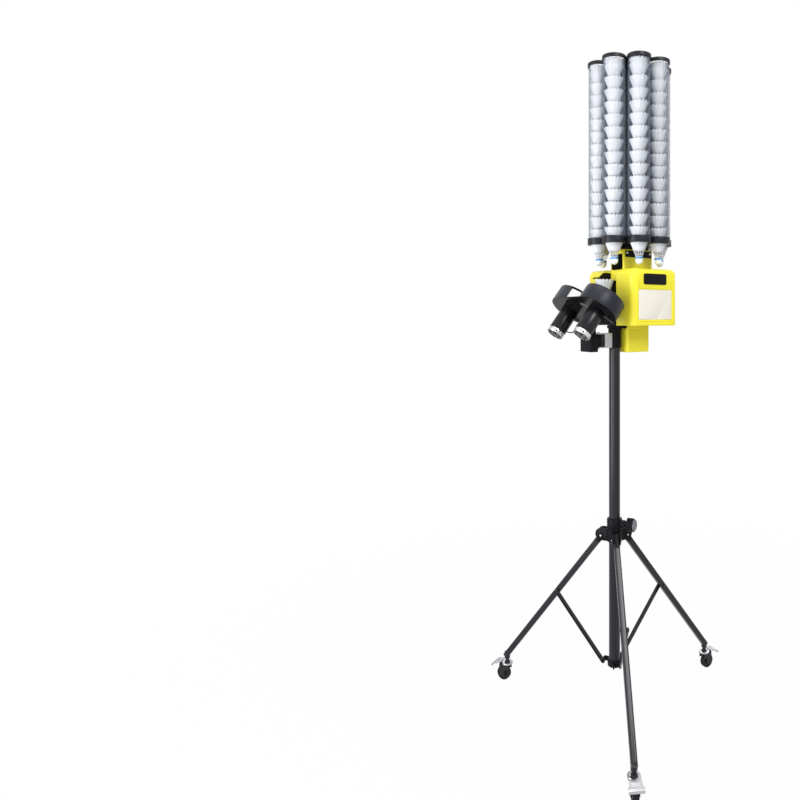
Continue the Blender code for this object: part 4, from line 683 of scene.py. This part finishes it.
# Battery box: a yellow moulded case that hangs under the housing, behind the sleeve, with a fine seam
# along each side.
battery = block("battery_case", (-123, -26), (-38, 38), (-79, 12))
round_edges(battery, 7.5, 6, upright)
round_edges(battery, 3, 4, lambda middle, way: middle.z < -78.9)
for side in (-1, 1):
    cut(battery, block("seam", (-130, -20), sided(side, 37.7, 50), (-1.2, -0.4)))
mount(soften(to_top(battery), 0.3), "stand", yellow_moulding, "yellow_housing", "battery_box")

# Channel liner: a thin tray that lines the drop channel between the cheeks, open at the front and at the top.
# Its brown black is painted shade, the same as in the arch, for the shade down in the channel.
liner = block("channel_tray", (-167, 2), (-37.7, 37.7), (12.3, 165))
hollow = block("hollow", (-164, 30), (-36.5, 36.5), (15.3, 200))
round_edges(hollow, 4, 4, lambda middle, way: lengthwise(middle, way) and middle.z < 50)
mount(soften(to_top(cut(liner, hollow)), 0.3), "stand", channel_shade_finish, "black_plastic", "channel_liner")

# Neck: a yellow box between the cheeks that carries the magazine, open at the front with a window,
# with a black trim strip and its two screws on the left side.
neck = block("neck_box", (-137, -10), (-37.7, 37.7), (165.3, 269.8))
round_edges(neck, 6, 6, upright)
cavity = block("cavity", (-134, -13), (-34.7, 34.7), (150, 266.8))
window = block("window", (-20, 10), (-31, 31), (201.3, 255.3))
round_edges(window, 4, 5, lengthwise)
shaft_hole = set_down(rod("shaft_hole", 4.6, 250, 280, 24), (-67, 0, 0))
soften(cut(neck, cavity, window, shaft_hole), 0.4)
to_top(neck)
mount(neck, "stand", yellow_moulding, "yellow_housing", "neck")
# The neck box's inside faces take the painted shade.
paint_shade_inside(neck, channel_shade_finish, (MAST_AXIS - 135.2, MAST_AXIS - 11.8), (-35.8, 35.8), (0, 266.9))
strip = block("neck_strip", (-131, -17), (37.4, 39.2), (243.8, 265.8))
round_edges(strip, 2, 4, crosswise)
cut(strip, block("line", (-140, -10), (38.9, 50), (247.7, 248.3)))
mount(soften(to_top(strip), 0.4), "stand", satin_black, "black_plastic")
cross_head = turned("strip_screw", [(0, 38.8), (3.4, 38.8), (3.4, 40.2), (2.6, 41), (0, 41.2)], 24)
for turn in (0, 90):
    cut(cross_head, set_down(block("slot", (-2.4, 2.4), (-0.4, 0.4), (40.4, 50)), turn=(0, 0, turn)))
set_down(cross_head, turn=(-90, 0, 0))
for along in (-24.5, -123.5):
    screw = smooth(set_down(copy_of(cross_head), (MAST_AXIS + along, 0, MAST_TOP + 257.8)))
    mount(screw, "stand", rivet_steel, "silver")
bpy.data.objects.remove(cross_head, do_unlink=True)

# Gear motor: it hangs in the neck, can and gearbox in one, and turns the magazine's column. It is
# bright bare steel with a groove round the can.
TURN_AXIS = MAST_AXIS - 67
bright_steel = skin("bright_steel", (0.66, 0.66, 0.67), 0.26, 1.0, wear=0.0, size=500, depth=0.06)
gear_motor = turned("gear_motor_can", [(0, 196.5), (6, 196.5), (6, 198), (14.5, 198), (16.5, 200),
    (16.5, 218.5), (16.1, 218.9), (16.5, 219.3), (16.5, 238.3), (18, 238.5), (18.5, 239), (18.5, 266),
    (18, 266.5), (0, 266.5)], 48)
mount(smooth(set_down(gear_motor, (TURN_AXIS, 0, MAST_TOP))), "stand", bright_steel, "silver", "magazine_motor")

# Turntable: the round black bearing plate on the neck that the magazine turns on, with a raised seat
# inside its rim.
turntable = turned("turntable_plate", [(4.6, 270.1), (62, 270.1), (64.5, 271.5), (65, 273), (65, 277.7),
    (64, 278.9), (61.2, 279.3), (61.2, 284.5), (60.4, 285.1), (4.6, 285.1)], 96, closed=True)
mount(smooth(set_down(turntable, (TURN_AXIS, 0, MAST_TOP))), "stand", satin_black, "black_plastic",
    "turntable_disc")

# Magazine rings: two black moulded plates with a round lobe for each of the eight tubes. The lower one
# has a stepped seat and a mouth that a shuttle's skirt hangs in, the upper one is open for loading.
TUBE_CIRCLE = 108.5
TUBE_PLACES = []
for turn in [math.radians(22.5 + 45 * count) for count in range(8)]:
    TUBE_PLACES.append((TURN_AXIS + TUBE_CIRCLE * math.cos(turn), TUBE_CIRCLE * math.sin(turn), 0))
ring_plastic = skin("ring_plastic", (0.011, 0.012, 0.016), 0.36, clouding=0.15, size=1200, shine=0.2)


def lobed_plate(name, low, high):
    """Eight round lobes welded to a disc, with softened edges."""
    plate = set_down(rod(name, 98, low, high, 96), (TURN_AXIS, 0, 0))
    for spot in TUBE_PLACES:
        weld(plate, set_down(rod("lobe", 40.5, low, high, 64), spot))
    return soften(plate, 1.2, 3, 40)


lower = lobed_plate("magazine_lower_ring", 1570.6, 1593.6)
for spot in TUBE_PLACES:
    cut(lower, set_down(turned("seat", [(0, 1550), (31.6, 1550), (31.6, 1577.5), (30.6, 1578.6), (38.1, 1578.6),
        (38.1, 1593.1), (38.6, 1593.7), (38.6, 1600), (0, 1600)], 64), spot))
cut(lower, set_down(rod("shaft_hole", 4.6, 1550, 1600, 24), (TURN_AXIS, 0, 0)))
mount(smooth(lower), "magazine", ring_plastic, "black_plastic", "magazine_ring")

upper = lobed_plate("magazine_upper_ring", 2176.7, 2189.7)
for spot in TUBE_PLACES:
    cut(upper, set_down(turned("seat", [(0, 2150), (38.1, 2150), (38.1, 2185.2), (35.5, 2185.2), (35.5, 2188.9),
        (36.2, 2189.8), (36.2, 2200), (0, 2200)], 64), spot))
cut(upper, set_down(rod("spigot_hole", 10.6, 2150, 2200, 32), (TURN_AXIS, 0, 0)))
mount(smooth(upper), "magazine", ring_plastic, "black_plastic", "magazine_cap")

# Centre column: the black tube between the rings. The drive shaft goes down from it through the
# turntable into the gear motor, and a spigot goes up through the upper ring.
column = turned("centre_column_tube", [(0, 1551.8), (4, 1551.8), (4, 1593.9), (24.5, 1593.9), (25, 1594.5),
    (25, 2175.7), (24.5, 2176.4), (10, 2176.4), (10, 2190.9), (9.2, 2191.7), (0, 2191.7)], 64)
mount(smooth(set_down(column, (TURN_AXIS, 0, 0))), "magazine", ring_plastic, "black_plastic", "centre_column")

# Shuttle tubes: clear plastic tubes with a faint cool tint that shows most where the wall is seen
# edge on, held between the two rings.
clear_plastic = bpy.data.materials.new("clear_tube_plastic")
clear_plastic.use_nodes = True
tree = clear_plastic.node_tree
shader = tree.nodes["Principled BSDF"]
fill(shader, Base_Color=(0.16, 0.19, 0.245, 1), Roughness=0.06)
wall = node(tree, "MapRange", To_Min=0.02, To_Max=0.62)
haze = node(tree, "TexNoise", Scale=14)
haze_strength = node(tree, "MapRange", To_Min=0.7, To_Max=1.3)
both = node(tree, "Math", "MULTIPLY")
wire(tree, (node(tree, "TexCoord"), "Object", haze, "Vector"), (haze, "Fac", haze_strength, "Value"),
    (node(tree, "LayerWeight", Blend=0.35), "Facing", wall, "Value"), (wall, "Result", both, 0),
    (haze_strength, "Result", both, 1), (both, 0, shader, "Alpha"))
for count, spot in enumerate(TUBE_PLACES, 1):
    tube = turned(f"clear_tube_{count}", [(37.5, 1579.1), (37.5, 2184.7), (37.3, 2184.9), (35.7, 2184.9),
        (35.5, 2184.7), (35.5, 1579.1), (35.7, 1578.9), (37.3, 1578.9)], 64, closed=True)
    mount(smooth(set_down(tube, spot)), "magazine", clear_plastic, "clear_tube", f"shuttle_tube_{count}")
    tube.visible_shadow = False

# Shuttlecocks: a cork with a thin blue band under sixteen trimmed feathers, which stand in the cork,
# lean outwards and overlap at their tips, bound by two rings of thread. Each stack has sixteen.
cork_skin = skin("shuttle_cork", (0.8, 0.81, 0.83), 0.5, worn=(0.9, 0.9, 0.9), wear=0.1, clouding=0.05)
feather_white = skin("feather_white", (0.74, 0.76, 0.8), 0.6, worn=(0.95, 0.95, 0.97), wear=0.1, clouding=0.14,
    size=260, depth=0.35, stretch=(1, 1, 0.25))
tree = feather_white.node_tree
shader = tree.nodes["Principled BSDF"]
# The back faces of the feathers, the insides of the skirts, are painted near black: painted shade for the dark
# inside each skirt and in the gaps between nested shuttles.
backface_painted_shade = colour_mix(tree)
fill(backface_painted_shade, B=(0.09, 0.09, 0.1, 1))
tree.links.new(shader.inputs["Base Color"].links[0].from_socket, backface_painted_shade.inputs["A"])
wire(tree, (node(tree, "NewGeometry"), "Backfacing", backface_painted_shade, "Factor"),
    (backface_painted_shade, "Result", shader, "Base Color"))
band_blue = skin("cork_band_blue", (0.011, 0.24, 0.58), 0.4, wear=0.1, clouding=0.08, size=600, depth=0.1)
RIM_STEP = 41.2
HANG_TIP = 1499.4
CORK, BAND, FEATHER = range(3)


def dress(piece):
    """Give a piece of a shuttlecock the finishes of cork, band and feather, in that order."""
    for finish in (cork_skin, band_blue, feather_white):
        piece.data.materials.append(finish)
    return piece


def join_all(*pieces):
    """Join pieces into the first of them."""
    joined = only(*pieces)
    bpy.ops.object.join()
    return joined


def feather(name):
    """One trimmed feather: a quill with a vane that widens and ends in a rounded tip."""
    bpy.ops.object.select_all(action="DESELECT")
    bpy.ops.mesh.primitive_grid_add(x_subdivisions=2, y_subdivisions=6, size=1)
    vane = bpy.context.object
    vane.name = name
    widths = (0.9, 1, 4.1, 5.6, 6.3, 5.8, 2.2)
    heights = (0, 20.5, 26, 40, 52, 58, 62)
    for point in vane.data.vertices:
        row = round((point.co.y + 0.5) * 6)
        side = round(point.co.x * 2)
        keel = 1.3 * (1 - abs(side)) * (0.3 + heights[row] * 0.014)
        point.co = (keel * MM, side * widths[row] * MM, heights[row] * MM)
    return vane


def shuttle(name, tip):
    """One shuttlecock, hanging cork down from its tip's height, on the Z axis."""
    cork = turned(name, [(0, tip), (5, tip + 1), (9.2, tip + 3.8), (11.9, tip + 8), (13, tip + 13),
        (13, tip + 18.5), (13.2, tip + 19), (13.2, tip + 23.5), (13, tip + 24), (12.6, tip + 25),
        (0, tip + 25)], 16)
    for face in dress(cork).data.polygons:
        face.material_index = BAND if 18.6 < face.center.z / MM - tip < 23.9 else CORK
    smooth(cork, 60)
    plain = dress(feather("plain_feather"))
    for face in plain.data.polygons:
        face.material_index = FEATHER
    set_down(set_down(plain, turn=(0, 0, 9)), turn=(0, math.degrees(math.atan2(22.5, 60)), 0))
    set_down(plain, (10, 0, tip + 24.5))
    smooth(plain, 60)
    crown = [set_down(copy_of(plain), turn=(0, 0, 22.5 * count)) for count in range(16)]
    bpy.data.objects.remove(plain, do_unlink=True)
    for height, radius in ((34, 13.9), (45, 18)):
        crown.append(dress(turned("thread", [(radius, tip + height), (radius + 0.6, tip + height + 0.5),
            (radius, tip + height + 1)], 16)))
    return join_all(cork, *crown)


for count, spot in enumerate(TUBE_PLACES, 1):
    stack = shuttle(f"shuttle_stack_feathers_{count}", HANG_TIP)
    members = []
    for place_up in range(1, 16):
        twist = 22.5 * ((place_up * 7 + count * 5) % 16) / 16 + place_up * 22.5
        rise = RIM_STEP * min(place_up, 14) + 18.5 * (place_up == 15)
        members.append(set_down(copy_of(stack), (0, 0, rise), (0, 0, twist)))
    set_down(join_all(stack, *members), spot)
    mount(stack, "magazine", cork_skin, "shuttle_white", f"shuttle_stack_{count}")

# Pan bracket: a folded silver steel bracket on the sleeve, with a flanged upright pin between its two
# shelves on which the head turns a little to either side.
PAN = 70
bracket_steel = skin("bracket_steel", (0.42, 0.42, 0.435), 0.36, 1.0, wear=0.0, size=500, depth=0.06)
bracket = round_edges(block("pan_bracket_fold", (22.1, 81), (-20, 20), (-62, -13)), 4.5, 5, upright)
throat = block("throat", (55, 100), (-30, 30), (-59, -16))
pocket = round_edges(block("pocket", (25.1, 81), (-17, 17), (-59, -16)), 2, 3, lengthwise)
cut(bracket, throat, pocket)
pin = turned("pin", [(0, -65.2), (6, -65.2), (7, -64.5), (7, -61), (5, -61), (5, -14), (7, -14), (7, -10.8),
    (6, -10), (0, -10)], 32)
soften(weld(bracket, set_down(pin, (PAN, 0, 0))), 0.4)
to_top(bracket)
mount(bracket, "stand", bracket_steel, "silver", "pan_bracket")

# Pan carrier: the knuckle on that pin, its arm, the black box of the tilt drive, and the yoke with the
# tilt pin. The box has a plain cover on each side.
TILT = 107
TILT_HEIGHT = 18
carrier = turned("pan_carrier_body", [(5.3, -58.7), (10.4, -58.7), (11, -58.1), (11, -16.9), (10.4, -16.3),
    (5.3, -16.3)], 40, closed=True)
set_down(carrier, (PAN, 0, 0))
arm = block("arm", (PAN + 5.6, 91), (-9, 9), (-57.8, -24))
drive = round_edges(block("drive", (89, 121), (-30, 30), (-74, -22)), 3, 4, lambda middle, way: True)
weld(carrier, arm, drive)
for side in (-1, 1):
    ear = block("ear", (95, 119), sided(side, 20.3, 24), (-25, 30))
    round_edges(ear, 11.9, 8, lambda middle, way: crosswise(middle, way) and middle.z > 0)
    weld(carrier, ear)
tilt_pin = turned("tilt_pin", both_ways([(0, -27), (6.6, -27), (7.5, -26.2), (7.5, -23), (5, -23)]), 32)
weld(carrier, set_down(tilt_pin, (TILT, 0, TILT_HEIGHT), (90, 0, 0)))
for side in (-1, 1):
    cover = round_edges(block("cover", (92.5, 117.5), sided(side, 29.5, 30.9), (-70.5, -25.5)), 3, 3, crosswise)
    weld(carrier, cover)
soften(carrier, 0.4)
to_top(carrier)
mount(carrier, "pan", satin_black, "black_plastic", "pan_carrier")

# Launcher base: a black plate on the tilt pin that carries both motors below and both drums above. It
# is drawn level here, with the shot along X, and then tipped up to the angle it is set at.
ELEVATION = 38
WHEEL_X, WHEEL_Y = 45, 76.5


def at_wheel(piece, side):
    """Put a piece that is drawn on Z on the axis of one launching wheel."""
    return set_down(piece, (WHEEL_X, side * WHEEL_Y, 0))


def tip_up(piece):
    """Tip a launcher piece up on the tilt pin and put it on the machine."""
    return set_down(piece, (MAST_AXIS + TILT, 0, MAST_TOP + TILT_HEIGHT), (0, -ELEVATION, 0))


base = block("launcher_plate", (-5, 115.5), (-WHEEL_Y, WHEEL_Y), (20, 23))
for side in (-1, 1):
    weld(base, at_wheel(rod("round", 70.5, 20, 23, 96), side))
for side in (-1, 1):
    cut(base, at_wheel(rod("hole", 9.4, 10, 30, 32), side))
knuckle = block("knuckle", (-12, 12), (-20, 20), (-12, 21))
round_edges(knuckle, 11.9, 8, lambda middle, way: crosswise(middle, way) and middle.z < 0)
weld(base, knuckle)
cut(base, set_down(rod("bore", 5.3, -30, 30, 32), turn=(90, 0, 0)))
tip_up(soften(base, 0.6))
mount(base, "launcher", gloss_black, "black_plastic", "tilt_base")

# Drum guards: moulded slate grey drums, open towards each other where the wheels meet, each with a lug
# for the feed pin on its lid.
FEED_X, FEED_Z = 17.7, 80
SIDES = ((1, "left"), (-1, "right"))
slate = skin("slate_drum", (0.014, 0.015, 0.022), 0.36, wear=0.25, clouding=0.1, size=1300, depth=0.15,
    shine=0.2)
for side, name in SIDES:
    drum = turned(f"drum_{name}", [(0, 23.3), (70.5, 23.3), (70.5, 75), (69.8, 76.5), (68.5, 77.3), (0, 77.3)],
        128)
    at_wheel(drum, side)
    cut(drum, at_wheel(rod("inside", 68, 10, 74.8, 128), side),
        block("nip_side", (-100, 200), sided(side, -50, 17.5), (0, 100)),
        block("open_side", (-100, 200), sided(side, -50, 38), (0, 74.8)),
        block("front_open", (WHEEL_X, 200), sided(side, -50, 41.3), (0, 74.8)))
    lug = round_edges(block("lug", (11.7, 23.7), sided(side, 17.8, 26.5), (76.3, 85)), 3, 5,
        lambda middle, way: crosswise(middle, way) and middle.z > 80)
    weld(drum, lug)
    cut(drum, set_down(rod("pin_hole", 2.5, -50, 50), (FEED_X, 0, FEED_Z), (90, 0, 0)))
    mount(tip_up(soften(drum, 0.4)), "launcher", slate, "slate_guard", f"guard_{name}")

# Launching wheels: pale grey foam tyres with a dished web on each side, turned in one with the hub and
# the end of the motor's shaft.
foam = skin("wheel_foam", (0.7, 0.68, 0.67), 0.85, worn=(0.8, 0.78, 0.77), wear=0.2, clouding=0.1, size=420,
    depth=0.6)
for side, name in SIDES:
    wheel = turned(f"foam_wheel_{name}", [(0, 23), (3.5, 23), (3.5, 28), (13, 28), (13, 43.8), (50.7, 43.8),
        (50.7, 28), (63.5, 28), (65, 29.5), (65, 70.5), (63.5, 72), (50.7, 72), (50.7, 56.2), (13, 56.2),
        (13, 68), (5, 68), (4, 69), (0, 69)], 96)
    mount(tip_up(smooth(at_wheel(wheel, side))), f"launch_wheel_{name}", foam, "wheel_foam",
        f"launch_wheel_{name}")

# Motors: black enamelled cans with a bright end bell, six vent slots and side windows round a bearing boss, and
# a bright band where the bell is pressed on. The slots and windows are shallow pockets, made dark with the
# can's black as painted shade.
cast_steel = skin("cast_steel", (0.13, 0.13, 0.14), 0.4, 1.0, wear=0.0, clouding=0.25, size=400, depth=0.15)
motor_enamel_and_shade = skin("motor_enamel_and_painted_shade", (0.008, 0.008, 0.01), 0.26, 0.2, wear=0.2, clouding=0.08, size=600,
    depth=0.05, shine=0.3)
for side, name in SIDES:
    can = turned(f"motor_can_{name}", [(0, -64.7), (27.5, -64.7), (28.5, -64), (29, -63), (29, 17.5),
        (28.5, 19), (27.2, 19.7), (9, 19.7), (9, 22.7), (0, 22.7)], 96)
    mount(tip_up(smooth(at_wheel(can, side))), "launcher", motor_enamel_and_shade, "black_plastic", f"motor_{name}")
    bell = turned(f"motor_bell_{name}", [(0, -80.3), (6.5, -80.3), (7, -79.8), (7, -78.3), (10, -78.3),
        (10.5, -79.8), (25, -79.8), (27.5, -78.8), (28.8, -76.3), (29, -74), (29, -65.5), (28.4, -64.8),
        (0, -64.8)], 96)
    for count in range(6):
        vent = round_edges(block("vent", (13, 24), (-4.4, 4.4), (-90, -75.2)), 2.8, 4, upright)
        window = block("window", (25.5, 32), (-3.6, 3.6), (-76.5, -71.5))
        cut(bell, set_down(vent, turn=(0, 0, 60 * count)), set_down(window, turn=(0, 0, 60 * count)))
    at_wheel(bell, side)
    for finish in (bright_steel, cast_steel, motor_enamel_and_shade):
        bell.data.materials.append(finish)
    # The end face takes the cast steel. The vent pockets' walls and floors and the windows' back walls take the
    # black enamel as painted shade, and the boss with its step takes it too.
    for face in bell.data.polygons:
        across, deep, up = face.center / MM
        off_axis = math.hypot(across - WHEEL_X, deep - side * WHEEL_Y)
        if up < -78.8 and off_axis > 9:
            face.material_index = 1
        elif off_axis < 26.2:
            face.material_index = 2
    mount(tip_up(soften(bell, 0.3)), "launcher", bright_steel, "silver")
    band = turned(f"motor_band_{name}", [(28.6, -70.5), (29.2, -70.5), (29.5, -70), (29.5, -66.2),
        (29.2, -65.7), (28.6, -65.7)], 96, closed=True)
    mount(tip_up(smooth(at_wheel(band, side))), "launcher", bright_steel, "silver")

# Motor lead: a thin black lead that runs from one motor to the other, near their lower ends, and sags
# in the middle.
LEAD_REACH = 47.2
LEAD_SAG = 7.9
bpy.ops.object.select_all(action="DESELECT")
bpy.ops.curve.primitive_nurbs_path_add()
lead = bpy.context.object
lead.name = "motor_lead_cable"
line = lead.data.splines[0]
line.points.add(10)
for count, point in enumerate(line.points):
    share = 2 * count / (len(line.points) - 1) - 1
    drop = LEAD_SAG * (1 - share * share) ** 2
    point.co = (*(Vector((WHEEL_X - 0.6157 * drop, LEAD_REACH * share, -60 - 0.788 * drop)) * MM), 1)
line.use_endpoint_u = True
lead.data.bevel_depth = 1.8 * MM
lead.data.bevel_resolution = 5
lead.data.use_fill_caps = True
bpy.ops.object.convert(target="MESH")
mount(tip_up(smooth(bpy.context.object)), "launcher", satin_black, "black_plastic", "motor_lead")

# Feed gripper: a bright steel barrel on its pin between the drums, with an arm and an open ring that
# clips round the cork and swings it down between the wheels.
CLIP = -30
gripper = turned("gripper_barrel", both_ways([(0, -27.5), (2.2, -27.5), (2.2, -16.5), (5.5, -16.5)]), 32)
set_down(gripper, turn=(90, 0, 0))
weld(gripper, block("arm", (-16.4, -3.5), (-8, 8), (2, 10)), set_down(turned("clip",
    [(13.3, 6), (15.8, 6), (15.8, 16), (13.3, 16)], 48, closed=True), (CLIP, 0, 0)))
cut(gripper, block("mouth", (-56, CLIP), (-6, 6), (-4, 26)))
soften(gripper, 0.3)
lift = math.radians(ELEVATION)
FEED = (MAST_AXIS + TILT + FEED_X * math.cos(lift) - FEED_Z * math.sin(lift), 0,
    MAST_TOP + TILT_HEIGHT + FEED_X * math.sin(lift) + FEED_Z * math.cos(lift))
mount(set_down(gripper, FEED), "feeder", bright_steel, "silver", "feed_gripper")
loaded = shuttle("loaded_shuttlecock", -7)
set_down(set_down(loaded, (CLIP, 0, 0)), FEED)
mount(loaded, "feeder", cork_skin, "shuttle_white", "loaded_shuttle")
